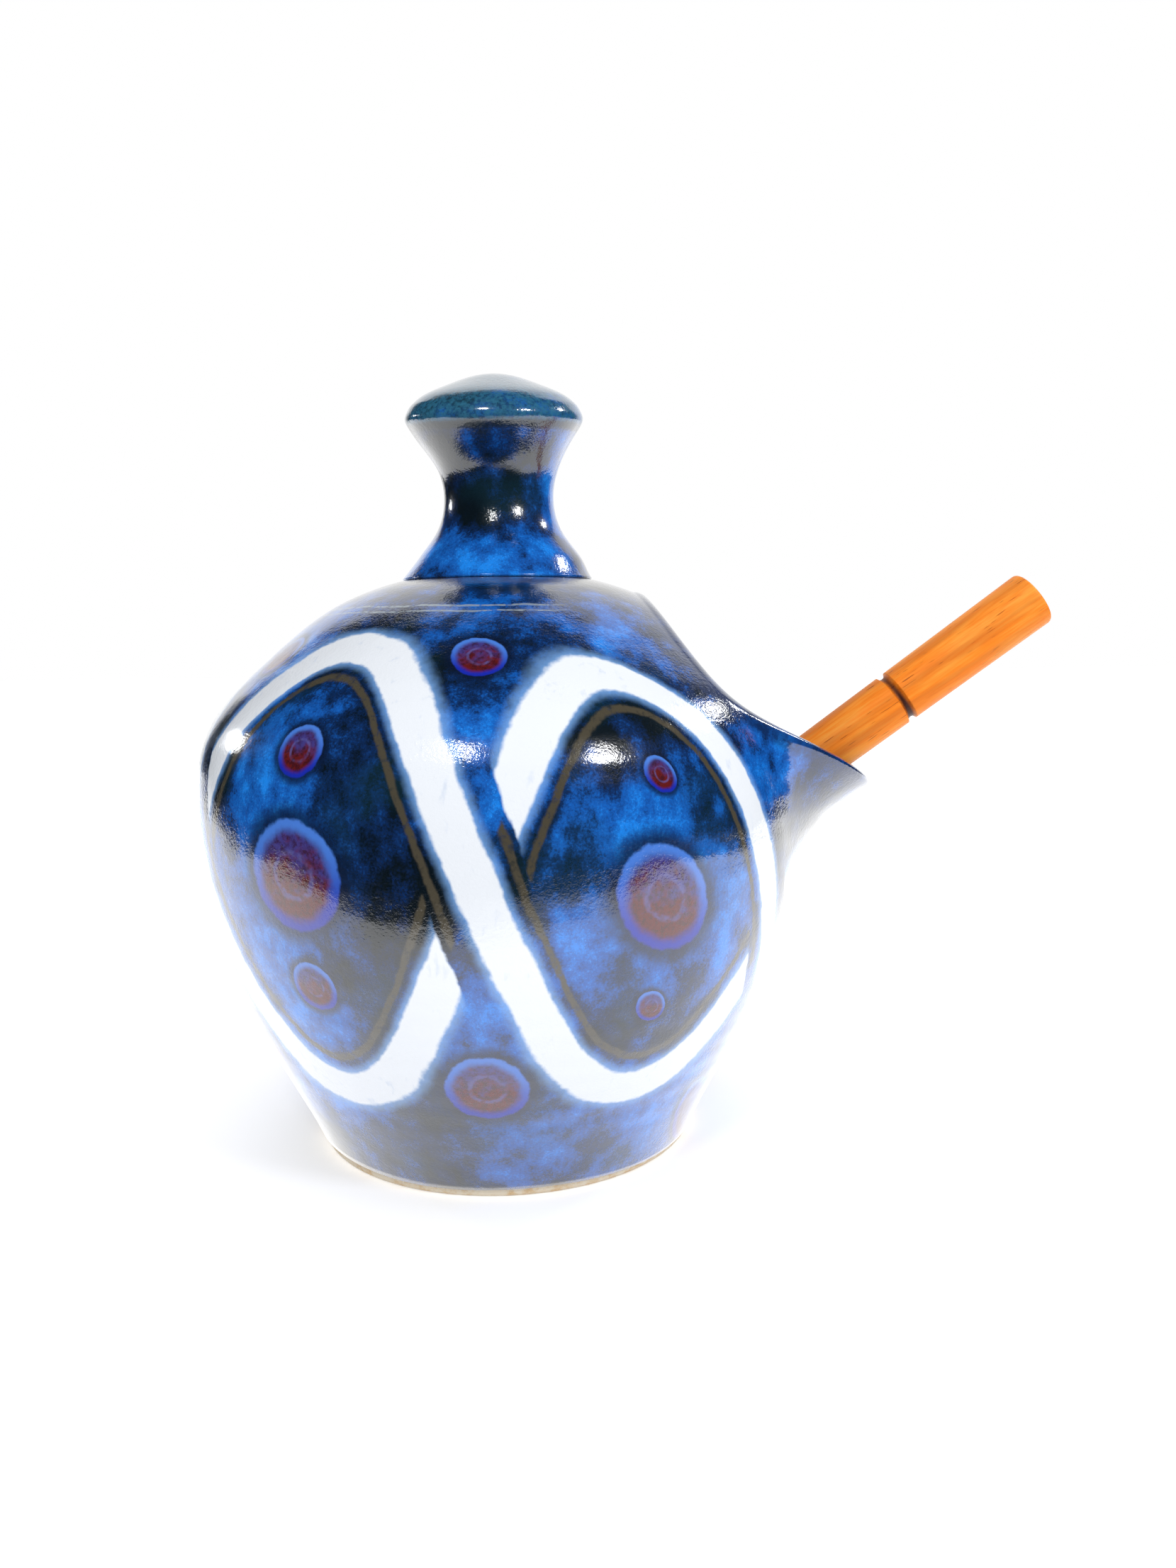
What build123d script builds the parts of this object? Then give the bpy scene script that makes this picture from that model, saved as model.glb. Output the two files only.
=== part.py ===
from build123d import *
import os
from math import cos, radians, sin

# Salt pot: a thrown stoneware pot with a closed shoulder and a knob to hold it by, a mouth pulled out
# of one shoulder, and a turned wooden spoon that leans in the mouth. Millimetres, +Z up. The origin
# is the centre of the base, and the mouth faces +X.

# Driving dimensions of the thrown body
BASE_RADIUS = 38.6
BELLY_RADIUS = 61.6
BELLY_HEIGHT = 67.0
SEAT_RADIUS = 19.6
SEAT_HEIGHT = 112.8
WALL = 4.6
FLOOR = 6.0
FLOOR_CORNER = 7.0
FOOT_BEVEL = 0.9

# The wall between base, belly and shoulder, as (radius, height), and its slope at both ends
LOWER_WALL = [(45.6, 15.0), (54.2, 33.0), (59.8, 51.0)]
SHOULDER = [(58.0, 84.6), (45.6, 98.0), (33.6, 107.2)]
WALL_AT_FOOT = (0.4, 1.0)
WALL_AT_SEAT = (-1.0, 0.26)

# The inside follows the wall at these shares of its length, from the floor to the top
INSIDE_STATIONS = (0.12, 0.28, 0.44, 0.6, 0.75, 0.9)
INSIDE_AT_FLOOR = (1.0, 0.4)
INSIDE_AT_TOP = (-1.0, 0.1)

# The mouth: a short collar pulled out of the shoulder, on an axis that climbs towards +X
MOUTH_CENTRE = (39.2, 77.8)
MOUTH_CLIMB = 45.0
COLLAR_INSIDE = -12.0
COLLAR_ROOT = 4.0
COLLAR_FLARE = 14.0
COLLAR_END = 26.0
COLLAR_RADII = {COLLAR_INSIDE: 27.6, COLLAR_ROOT: 28.2, COLLAR_FLARE: 29.4, COLLAR_END: 32.0}
COLLAR_WIDER = 1.03
COLLAR_BLEND = 6.0
THROAT_INSIDE = -36.0
THROAT_RADIUS = 22.0
LIP_WALL = 4.7
THROAT_RADII = {THROAT_INSIDE: THROAT_RADIUS, **{a: r - LIP_WALL for a, r in COLLAR_RADII.items()}}
RIM_ROUNDING = 1.7

# The rim seen from the side, from the shoulder down to the tip of the lip and past it, as (x, height)
RIM_LINE = [(24.2, 118.0), (29.6, 109.6), (36.2, 99.4), (43.8, 90.4), (55.0, 83.6), (70.0, 75.4), (90, 56)]

# The knob: foot, waist and cap
KNOB_FOOT_RADIUS = 19.5
KNOB_FOOT_ROUNDING = 0.4
NECK_LINE = [(16.2, 117.6), (12.6, 122.6), (11.1, 128.6), (12.0, 134.6), (14.3, 139.6)]
NECK_AT_FOOT = (-0.75, 1.0)
NECK_AT_CAP = (1.0, 0.75)
CAP_EDGE_RADIUS = 17.7
CAP_EDGE_HEIGHT = 144.4
CAP_EDGE_THICKNESS = 2.2
CAP_EDGE_BULGE = 0.9
DOME_LINE = [(13.8, 148.6), (8.0, 151.8)]
DOME_AT_EDGE = (-0.8, 1.0)
TOTAL_HEIGHT = 153.6

# The spoon leans in the middle plane of the pot, its handle on the lip and its bowl over the floor.
# Places along it are measured from the end of the handle.
SPOON_LEAN = 36.1
SPOON_END = (108.8, 108.2)
HANDLE_END_RADIUS = 5.9
HANDLE_WAIST_RADIUS = 5.6
HANDLE_NECK_RADIUS = 3.9
HANDLE_END_ROUNDING = 0.8
HANDLE_SLOPE = 0.02
GROOVE_AT = 34.0
GROOVE_WIDTH = 1.9
GROOVE_DEPTH = 0.8
NECK_AT = 122.0
BOWL_START = 129.4
BOWL_END = 173.4
BOWL_HALF_WIDTH = 12.6
BOWL_RIM_RISE = 0.6
BOWL_CENTRE_RISE = 7.0
BOWL_WALL = 2.2
BOWL_END_WALL = 3.3

os.makedirs("parts", exist_ok=True)


def mouth_plane(along):
    """Plane across the mouth's axis, its X pointing out and down and its Y along the pot's Y."""
    climb = radians(MOUTH_CLIMB)
    return Plane(
        origin=(MOUTH_CENTRE[0] + along * cos(climb), 0, MOUTH_CENTRE[1] + along * sin(climb)),
        x_dir=(sin(climb), 0, -cos(climb)),
        z_dir=(cos(climb), 0, sin(climb)),
    )


def one_wall_in(line, station):
    """Point one wall thickness inside an outline that runs up from the foot, at a share of its length."""
    outside, along = line @ station, line % station
    return outside.X - WALL * along.Y, outside.Y + WALL * along.X


def is_collar_joint(edge):
    """Whether this is the edge where the collar leaves the shoulder, outside the seat and under the rim."""
    box = edge.bounding_box()
    return box.size.Y > SEAT_RADIUS and box.min.X > SEAT_RADIUS and box.max.Z < SEAT_HEIGHT


# The outline of the thrown body and the outline of its inside, drawn on the half away from the mouth
BACK_HALF = Plane(origin=(0, 0, 0), x_dir=(-1, 0, 0), z_dir=(0, 1, 0))
with BuildSketch(BACK_HALF) as body_outline:
    with BuildLine():
        wall_line = Spline(
            (BASE_RADIUS, FOOT_BEVEL),
            *LOWER_WALL,
            (BELLY_RADIUS, BELLY_HEIGHT),
            *SHOULDER,
            (SEAT_RADIUS, SEAT_HEIGHT),
            tangents=[WALL_AT_FOOT, WALL_AT_SEAT],
        )
        Polyline(wall_line @ 1, (0, SEAT_HEIGHT), (0, 0), (BASE_RADIUS - FOOT_BEVEL, 0), wall_line @ 0)
    make_face()

with BuildSketch(BACK_HALF) as inside_outline:
    with BuildLine():
        inside_line = Spline(
            (BASE_RADIUS - FLOOR_CORNER, FLOOR),
            *[one_wall_in(wall_line, station) for station in INSIDE_STATIONS],
            (SEAT_RADIUS - FLOOR_CORNER, SEAT_HEIGHT - WALL),
            tangents=[INSIDE_AT_FLOOR, INSIDE_AT_TOP],
        )
        Polyline(inside_line @ 1, (0, SEAT_HEIGHT - WALL), (0, FLOOR), inside_line @ 0)
    make_face()

with BuildPart() as pot_body:
    # The closed form, as thrown, and the collar that is pulled out of its shoulder
    add(body_outline.sketch)
    revolve(axis=Axis.Z)
    for along, radius in COLLAR_RADII.items():
        with BuildSketch(mouth_plane(along)):
            Ellipse(radius, radius * COLLAR_WIDER, rotation=180)
    loft()
    collar_joint = [edge for edge in pot_body.edges().filter_by(GeomType.BSPLINE) if is_collar_joint(edge)]
    fillet(collar_joint, radius=COLLAR_BLEND)

    # The salt cavity, and the throat that opens it through the collar
    revolve(inside_outline.sketch, axis=Axis.Z, mode=Mode.SUBTRACT)
    for along, radius in THROAT_RADII.items():
        with BuildSketch(mouth_plane(along)):
            Ellipse(radius, radius * COLLAR_WIDER, rotation=180)
    loft(mode=Mode.SUBTRACT)

    # The rim is cut to a line that dips in the middle, and its edges are rounded
    beside_belly = 2 * BELLY_RADIUS
    with BuildSketch(Plane.XZ.offset(beside_belly)):
        with BuildLine():
            rim_line = Spline(*RIM_LINE)
            rim_start, rim_end = rim_line @ 0, rim_line @ 1
            Polyline(rim_end, (rim_end.X, TOTAL_HEIGHT), (rim_start.X, TOTAL_HEIGHT), rim_start)
        make_face()
    extrude(amount=-2 * beside_belly, mode=Mode.SUBTRACT)
    rim_face = pot_body.faces(Select.LAST).filter_by(GeomType.EXTRUSION)
    fillet(rim_face.edges(), radius=RIM_ROUNDING)

pot_body.part.label = "pot_body"
export_step(pot_body.part, "parts/pot_body.step")

with BuildPart() as knob:
    with BuildSketch(Plane.XZ):
        with BuildLine():
            cap_underside = (CAP_EDGE_RADIUS - CAP_EDGE_BULGE, CAP_EDGE_HEIGHT - 0.5 * CAP_EDGE_THICKNESS)
            cap_top = (CAP_EDGE_RADIUS - CAP_EDGE_BULGE, CAP_EDGE_HEIGHT + 0.5 * CAP_EDGE_THICKNESS)
            Spline(
                (KNOB_FOOT_RADIUS, SEAT_HEIGHT),
                *NECK_LINE,
                cap_underside,
                tangents=[NECK_AT_FOOT, NECK_AT_CAP],
            )
            ThreePointArc(cap_underside, (CAP_EDGE_RADIUS, CAP_EDGE_HEIGHT), cap_top)
            Spline(cap_top, *DOME_LINE, (0, TOTAL_HEIGHT), tangents=[DOME_AT_EDGE, (-1, 0)])
            Polyline((0, TOTAL_HEIGHT), (0, SEAT_HEIGHT), (KNOB_FOOT_RADIUS, SEAT_HEIGHT))
        make_face()
    revolve(axis=Axis.Z)
    fillet(knob.edges().group_by(Axis.Z)[0], radius=KNOB_FOOT_ROUNDING)

knob.part.label = "knob"
export_step(knob.part, "parts/knob.step")

# The spoon is drawn on two planes along its own axis: its side, and its side raised to the bowl's centre
lean = radians(SPOON_LEAN)
towards_bowl = Vector(-cos(lean), 0, -sin(lean))
spoon_up = Vector(-sin(lean), 0, cos(lean))
handle_end = Vector(SPOON_END[0], 0, SPOON_END[1])
spoon_side = Plane(origin=handle_end, x_dir=towards_bowl, z_dir=(0, 1, 0))
bowl_side = Plane(origin=handle_end + spoon_up * BOWL_CENTRE_RISE, x_dir=towards_bowl, z_dir=(0, 1, 0))
bowl_rim = Plane(origin=handle_end + spoon_up * BOWL_RIM_RISE, x_dir=towards_bowl, z_dir=spoon_up)

# The bowl is a spindle cut off by its rim, so its radius there follows from its half width. The hollow
# starts on a slope that runs in along the top of the neck.
bowl_middle = 0.5 * (BOWL_START + BOWL_END)
bowl_tip_radius = BOWL_CENTRE_RISE - BOWL_RIM_RISE
bowl_radius = (BOWL_HALF_WIDTH**2 + bowl_tip_radius**2) ** 0.5
hollow_start = BOWL_START + BOWL_END_WALL
hollow_end = BOWL_END - BOWL_END_WALL
slope_start = hollow_start - 2 * bowl_tip_radius

with BuildPart() as spoon:
    with BuildSketch(bowl_side):
        with BuildLine():
            bowl_neck, bowl_tip = (BOWL_START, bowl_tip_radius), (BOWL_END, bowl_tip_radius)
            ThreePointArc(bowl_neck, (bowl_middle, bowl_radius), bowl_tip)
            Polyline(bowl_tip, (BOWL_END, 0), (BOWL_START, 0), bowl_neck)
        make_face()
    revolve(axis=Axis(bowl_side.origin, towards_bowl))
    split(bisect_by=bowl_rim, keep=Keep.BOTTOM)

    # The turned handle: a rounded end, a slight waist, one cut groove, and a taper to the neck
    with BuildSketch(spoon_side):
        with BuildLine():
            end_line = Line((0, 0), (0, HANDLE_END_RADIUS - HANDLE_END_ROUNDING))
            end_curve = RadiusArc(end_line @ 1, (HANDLE_END_ROUNDING, HANDLE_END_RADIUS), HANDLE_END_ROUNDING)
            groove_start = (GROOVE_AT - 0.5 * GROOVE_WIDTH, HANDLE_WAIST_RADIUS)
            groove_end = (GROOVE_AT + 0.5 * GROOVE_WIDTH, HANDLE_WAIST_RADIUS)
            neck = (NECK_AT, HANDLE_NECK_RADIUS)
            Spline(end_curve @ 1, groove_start, tangents=[(1, -HANDLE_SLOPE), (1, 0)])
            ThreePointArc(groove_start, (GROOVE_AT, HANDLE_WAIST_RADIUS - GROOVE_DEPTH), groove_end)
            Spline(groove_end, neck, tangents=[(1, 0), (1, -HANDLE_SLOPE)])
            Polyline(neck, (bowl_middle, HANDLE_NECK_RADIUS), (bowl_middle, 0), (0, 0))
        make_face()
    revolve(axis=Axis(handle_end, towards_bowl))

    # The hollow follows the spindle one wall inside it
    with BuildSketch(bowl_side):
        with BuildLine():
            hollow_lip = (hollow_start, bowl_tip_radius)
            hollow_tip = (hollow_end, bowl_tip_radius)
            ThreePointArc(hollow_lip, (bowl_middle, bowl_radius - BOWL_WALL), hollow_tip)
            Polyline(hollow_tip, (hollow_end, 0), (slope_start, 0), hollow_lip)
        make_face()
    revolve(axis=Axis(bowl_side.origin, towards_bowl), mode=Mode.SUBTRACT)

spoon.part.label = "spoon"
export_step(spoon.part, "parts/spoon.step")
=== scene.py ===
"""Looks of a thrown stoneware salt pot, its knob and its loose turned wooden spoon.

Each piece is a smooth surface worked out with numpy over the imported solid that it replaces, in the same
frame. Sizes of the pieces are in millimetres, and a mesh is scaled to metres when it is made.
"""

from __future__ import annotations

import logging
import math
from collections.abc import Callable, Sequence
from dataclasses import dataclass
from enum import Enum

import bpy
import numpy as np
from mathutils import Matrix, Vector


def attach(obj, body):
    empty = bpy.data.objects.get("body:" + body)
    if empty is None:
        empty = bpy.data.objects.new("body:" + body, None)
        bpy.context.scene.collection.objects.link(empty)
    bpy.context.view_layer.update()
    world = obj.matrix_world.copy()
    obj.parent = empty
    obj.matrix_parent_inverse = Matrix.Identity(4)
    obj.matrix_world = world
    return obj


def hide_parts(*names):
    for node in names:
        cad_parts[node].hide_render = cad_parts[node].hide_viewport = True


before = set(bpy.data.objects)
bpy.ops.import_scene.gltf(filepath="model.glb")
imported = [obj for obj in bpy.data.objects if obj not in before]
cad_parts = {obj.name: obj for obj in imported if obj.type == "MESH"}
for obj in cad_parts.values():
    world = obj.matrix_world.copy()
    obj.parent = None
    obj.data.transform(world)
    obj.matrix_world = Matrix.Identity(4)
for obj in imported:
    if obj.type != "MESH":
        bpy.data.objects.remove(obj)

log = logging.getLogger("salt_pot")

MM = 0.001

# Name of the attribute that holds the staining of the pot's rim and the shade painted in the spoon's groove
STAIN_AND_SHADE = "dark"

# How far the knob's cap sags for each millimetre towards the front, and the heights over which that sets in
SAG = 0.09
SAG_HEIGHTS = (126.0, 140.0)

Rgb = tuple[float, float, float]
Point = tuple[float, float]
Socket = bpy.types.NodeSocket


class Body(Enum):
    """The bodies that pieces ride on."""

    POT = "pot"
    SPOON = "spoon"


class Slot(Enum):
    """The record's material slots."""

    GLAZE = "glaze"
    KNOB_GLAZE = "knob_glaze"
    WOOD = "wood"


# Curves and grids


def unit(vectors: np.ndarray) -> np.ndarray:
    """Vectors over their own lengths."""
    return vectors / np.linalg.norm(vectors, axis=-1, keepdims=True)


def smooth_line(
    points: Sequence[Point],
    start: Point | None = None,
    end: Point | None = None,
    count: int = 200,
) -> np.ndarray:
    """Points on the cubic spline through given points.

    The parameter is the chord length so far. The slopes at the points make the second derivative
    continuous, and each stretch is the Hermite cubic of its two points and slopes.

    Args:
        points: The points that the curve passes through.
        start: Direction at the first point, or None for no bend there.
        end: Direction at the last point, or None for no bend there.
        count: Number of points worked out.

    Returns:
        An array of count points.
    """
    given = np.array(points, float)
    chords = np.linalg.norm(np.diff(given, axis=0), axis=1)
    knots = np.concatenate([[0.0], np.cumsum(chords)])
    steps = np.diff(given, axis=0) / chords[:, None]
    size = len(given)
    matrix, right = np.zeros((size, size)), np.zeros_like(given)
    inner = np.arange(1, size - 1)
    matrix[inner, inner - 1] = chords[1:]
    matrix[inner, inner] = 2 * (chords[:-1] + chords[1:])
    matrix[inner, inner + 1] = chords[:-1]
    right[inner] = 3 * (chords[1:, None] * steps[:-1] + chords[:-1, None] * steps[1:])
    for row, neighbour, direction, step in ((0, 1, start, steps[0]), (-1, -2, end, steps[-1])):
        if direction is None:
            matrix[row, row], matrix[row, neighbour], right[row] = 2, 1, 3 * step
        else:
            matrix[row, row], right[row] = 1, unit(np.array(direction, float))
    slopes = np.linalg.solve(matrix, right)
    at = np.linspace(0, knots[-1], count)
    stretch = np.clip(np.searchsorted(knots, at, side="right") - 1, 0, size - 2)
    length = chords[stretch][:, None]
    share = (at[:, None] - knots[stretch][:, None]) / length
    left, right_hand = given[stretch], given[stretch + 1]
    return (
        (1 + 2 * share) * (1 - share) ** 2 * left
        + share * (1 - share) ** 2 * length * slopes[stretch]
        + share**2 * (3 - 2 * share) * right_hand
        + share**2 * (share - 1) * length * slopes[stretch + 1]
    )


def ring(count: int) -> np.ndarray:
    """Evenly spaced angles round one turn, in radians."""
    return np.linspace(0, 2 * math.pi, count, endpoint=False)


def smooth_step(share: np.ndarray) -> np.ndarray:
    """Three times the square less twice the cube, which is level where the share is 0 or 1."""
    return share * share * (3 - 2 * share)


def revolved(profile: np.ndarray, columns: int) -> np.ndarray:
    """Grid of points from a profile of (radius, height), turned about the Z axis.

    Args:
        profile: Radius and height, one pair for each row.
        columns: Number of points round each row.

    Returns:
        An array of rows by columns by 3.
    """
    turn = ring(columns)
    radius, height = profile[:, :1], profile[:, 1:]
    height = np.broadcast_to(height, (len(profile), columns))
    return np.stack([radius * np.cos(turn), radius * np.sin(turn), height], axis=-1)


@dataclass
class Skin:
    """A closed surface: rows of points that close on themselves, and a point at each end.

    Attributes:
        rows: Grid of points in millimetres, rows by columns by 3.
        first: Point that closes the surface before the first row.
        last: Point that closes it after the last row.
        finish_of_row: Index of the finish between each row and the next, with one entry for each pole.
        dark: How far staining, or painted shade, darkens each point of the rows, from 0 to 1.
    """

    rows: np.ndarray
    first: np.ndarray
    last: np.ndarray
    finish_of_row: np.ndarray | None = None
    dark: np.ndarray | None = None

    def to_object(self, name: str, finishes: list[bpy.types.Material]) -> bpy.types.Object:
        """A smooth mesh object at the origin, its faces pointing outwards.

        Quads join each row to the next, and triangles join the end rows to their points. The signed
        volume, a sixth of the sum of the triple products of all triangles, says whether to turn them.

        Args:
            name: The piece's name.
            finishes: Its materials, in the order of finish_of_row.

        Returns:
            The linked object.
        """
        count, columns, _ = self.rows.shape
        points = np.concatenate([self.rows.reshape(-1, 3), [self.first, self.last]]) * MM
        here, beside = np.arange(columns), (np.arange(columns) + 1) % columns
        below = (np.arange(count - 1) * columns)[:, None]
        above = below + columns
        quads = np.stack([below + here, below + beside, above + beside, above + here], axis=-1)
        quads = quads.reshape(-1, 4)
        top = (count - 1) * columns
        first_fan = np.stack([np.full(columns, count * columns), beside, here], axis=-1)
        last_fan = np.stack([np.full(columns, count * columns + 1), top + here, top + beside], axis=-1)
        triangles = np.concatenate([quads[:, [0, 1, 2]], quads[:, [0, 2, 3]], first_fan, last_fan])
        one, two, three = (points[triangles[:, corner]] for corner in range(3))
        volume = np.einsum("ij,ij->", one, np.cross(two, three))
        turned = slice(None, None, -1 if volume < 0 else 1)
        faces = [*quads[:, turned].tolist(), *first_fan[:, turned].tolist(), *last_fan[:, turned].tolist()]
        mesh = bpy.data.meshes.new(name)
        mesh.from_pydata(points, [], faces)
        mesh.polygons.foreach_set("use_smooth", np.ones(len(faces), bool))
        for finish in finishes:
            mesh.materials.append(finish)
        if self.finish_of_row is not None:
            between = np.repeat(self.finish_of_row[1:-1], columns)
            ends = np.repeat(self.finish_of_row[[0, -1]], columns)
            mesh.polygons.foreach_set("material_index", np.concatenate([between, ends]).astype(np.int32))
        if self.dark is not None:
            stain_and_shade = mesh.attributes.new(STAIN_AND_SHADE, "FLOAT", "POINT")
            stain_and_shade.data.foreach_set("value", np.append(self.dark.ravel(), [0.0, 0.0]).astype(np.float32))
        mesh.update()
        piece = bpy.data.objects.new(name, mesh)
        bpy.context.scene.collection.objects.link(piece)
        return piece


def smooth_union(one: np.ndarray, other: np.ndarray, blend: np.ndarray | float) -> np.ndarray:
    """Distance outside two joined forms, from the distance outside each.

    It is the smaller distance, less a quarter of the blend where both are equal, which fades to nothing
    where they differ by the blend.

    Args:
        one: Distance outside the first form.
        other: Distance outside the second.
        blend: Width of the rounded joint.

    Returns:
        Distance outside the joined form.
    """
    share = np.clip(0.5 + 0.5 * (other - one) / blend, 0, 1)
    return other * (1 - share) + one * share - blend * share * (1 - share)


def crossing(
    function: Callable[[np.ndarray], np.ndarray], low: np.ndarray, high: np.ndarray, steps: int = 34
) -> np.ndarray:
    """Where a function turns from negative, at low, to positive, at high, by halving each interval.

    Args:
        function: Takes an array like low and gives its values.
        low: Values at which the function is negative.
        high: Values at which it is positive.
        steps: Number of halvings.

    Returns:
        The middle of each last interval.
    """
    low, high = np.array(low, float), np.array(high, float)
    for _ in range(steps):
        middle = 0.5 * (low + high)
        inside = function(middle) < 0
        low, high = np.where(inside, middle, low), np.where(inside, high, middle)
    return 0.5 * (low + high)


# Node formulas


class Formula:
    """A number worked out in a node tree, so that sums and products of sockets read as arithmetic."""

    def __init__(self, tree: bpy.types.NodeTree, source: Socket) -> None:
        """Keeps the tree and the socket that holds the number."""
        self.tree = tree
        self.source = source

    def worked(self, operation: str, *others: Formula | float) -> Formula:
        """The result of a Math node on this number and others.

        Args:
            operation: The node's operation.
            others: Formulas or plain numbers that it takes after this one.

        Returns:
            The result.
        """
        node = self.tree.nodes.new("ShaderNodeMath")
        node.operation = operation
        for socket, value in zip(node.inputs, (self, *others)):
            if isinstance(value, Formula):
                self.tree.links.new(value.source, socket)
            else:
                socket.default_value = value
        return Formula(self.tree, node.outputs[0])

    def __add__(self, other: Formula | float) -> Formula:
        """Sum."""
        return self.worked("ADD", other)

    def __mul__(self, other: Formula | float) -> Formula:
        """Product."""
        return self.worked("MULTIPLY", other)

    def __sub__(self, other: Formula | float) -> Formula:
        """Difference."""
        return self.worked("SUBTRACT", other)

    def __rsub__(self, other: float) -> Formula:
        """Difference from a plain number."""
        return self.worked("MULTIPLY", -1.0) + other

    def __truediv__(self, other: Formula | float) -> Formula:
        """Quotient."""
        return self.worked("DIVIDE", other)

    def size(self) -> Formula:
        """Value without its sign."""
        return self.worked("ABSOLUTE")

    def root(self) -> Formula:
        """Square root."""
        return self.worked("SQRT")

    def cosine(self) -> Formula:
        """Cosine of an angle in radians."""
        return self.worked("COSINE")

    def sine(self) -> Formula:
        """Sine of an angle in radians."""
        return self.worked("SINE")

    def larger(self, other: Formula | float) -> Formula:
        """The larger of two numbers."""
        return self.worked("MAXIMUM", other)

    def near(self, width: float, soft: float) -> Formula:
        """One where this distance is under a width, fading to nothing over a soft edge about it."""
        return self.between(width - 0.5 * soft, width + 0.5 * soft, 1.0, 0.0)

    def between(self, low: float, high: float, start: float = 0.0, end: float = 1.0) -> Formula:
        """A smooth step from start, where this number is low, to end, where it is high.

        Args:
            low: Number up to which it is at its start.
            high: Number from which it is at its end.
            start: Its value below low.
            end: Its value above high.

        Returns:
            The step.
        """
        node = self.tree.nodes.new("ShaderNodeMapRange")
        node.interpolation_type = "SMOOTHSTEP"
        self.tree.links.new(self.source, node.inputs["Value"])
        for name, value in (("From Min", low), ("From Max", high), ("To Min", start), ("To Max", end)):
            node.inputs[name].default_value = value
        return Formula(self.tree, node.outputs["Result"])


class Recipe:
    """A material's node tree with the few kinds of node that the finishes share."""

    def __init__(self, name: str) -> None:
        """Starts a material with one Principled shader and the Object coordinates.

        Args:
            name: The material's name.
        """
        self.material = bpy.data.materials.new(name)
        self.material.use_nodes = True
        self.tree = self.material.node_tree
        self.shader = self.tree.nodes["Principled BSDF"]
        self.place = self.tree.nodes.new("ShaderNodeTexCoord").outputs["Object"]

    def axes(self) -> tuple[Formula, Formula, Formula]:
        """The three Object coordinates, in metres."""
        return self.split(self.place)

    def split(self, place: Socket) -> tuple[Formula, Formula, Formula]:
        """The three numbers of a place.

        Args:
            place: Socket of the place.

        Returns:
            Its X, Y and Z.
        """
        node = self.tree.nodes.new("ShaderNodeSeparateXYZ")
        self.tree.links.new(place, node.inputs[0])
        return tuple(Formula(self.tree, socket) for socket in node.outputs)

    def turned(self, angles: tuple[float, float, float], stretch: tuple[float, float, float]) -> Socket:
        """Object coordinates turned and then stretched.

        Args:
            angles: Angles about X, Y and Z, in degrees.
            stretch: What each coordinate is multiplied by.

        Returns:
            The new coordinates.
        """
        node = self.tree.nodes.new("ShaderNodeMapping")
        node.vector_type = "TEXTURE"
        node.inputs["Rotation"].default_value = [-math.radians(a) for a in angles]
        node.inputs["Scale"].default_value = [1 / s for s in stretch]
        self.tree.links.new(self.place, node.inputs["Vector"])
        return node.outputs["Vector"]

    def noise(
        self, size: float, detail: float = 2.0, roughness: float = 0.5, place: Socket | None = None
    ) -> Formula:
        """Cloudy noise from 0 to 1.

        Args:
            size: About how far it is across its patches, in millimetres.
            detail: Number of finer layers in it.
            roughness: How strong they are.
            place: Coordinates that it is read at, or None for the Object coordinates.

        Returns:
            The noise.
        """
        node = self.tree.nodes.new("ShaderNodeTexNoise")
        node.inputs["Scale"].default_value = 1 / (size * MM)
        node.inputs["Detail"].default_value = detail
        node.inputs["Roughness"].default_value = roughness
        self.tree.links.new(place or self.place, node.inputs["Vector"])
        return Formula(self.tree, node.outputs["Fac"])

    def stain_and_shade(self) -> Formula:
        """How far a place is stained, or darkened by painted shade.

        Returns:
            The staining or painted shade from 0 to 1, as the mesh says.
        """
        node = self.tree.nodes.new("ShaderNodeAttribute")
        node.attribute_name = STAIN_AND_SHADE
        return Formula(self.tree, node.outputs["Fac"])

    def mixed(self, share: Formula, under: Socket | Rgb, over: Socket | Rgb) -> Socket:
        """One colour covered by another.

        Args:
            share: How far it is covered, from 0 to 1.
            under: The colour below.
            over: The colour that covers it.

        Returns:
            The mixed colour.
        """
        node = self.tree.nodes.new("ShaderNodeMix")
        node.data_type = "RGBA"
        self.tree.links.new(share.source, node.inputs["Factor"])
        for socket, colour in ((node.inputs[6], under), (node.inputs[7], over)):
            if isinstance(colour, Socket):
                self.tree.links.new(colour, socket)
            else:
                socket.default_value = (*colour, 1.0)
        return node.outputs[2]

    def colour(self, socket: Socket) -> None:
        """Puts a colour on the shader."""
        self.tree.links.new(socket, self.shader.inputs["Base Color"])

    def gloss(self, roughness: float, refraction: float = 1.5) -> None:
        """Sets the surface's gloss.

        Args:
            roughness: Roughness of the surface.
            refraction: Its index of refraction.
        """
        self.shader.inputs["Roughness"].default_value = roughness
        self.shader.inputs["IOR"].default_value = refraction

    def relief(self, height: Formula, depth: float) -> None:
        """Raises the surface, and the clear coat on it.

        Args:
            height: Height from 0 to 1.
            depth: What it is multiplied by, in millimetres.
        """
        node = self.tree.nodes.new("ShaderNodeBump")
        node.inputs["Distance"].default_value = depth * MM
        self.tree.links.new(height.source, node.inputs["Height"])
        for socket in ("Normal", "Coat Normal"):
            self.tree.links.new(node.outputs["Normal"], self.shader.inputs[socket])


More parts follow.
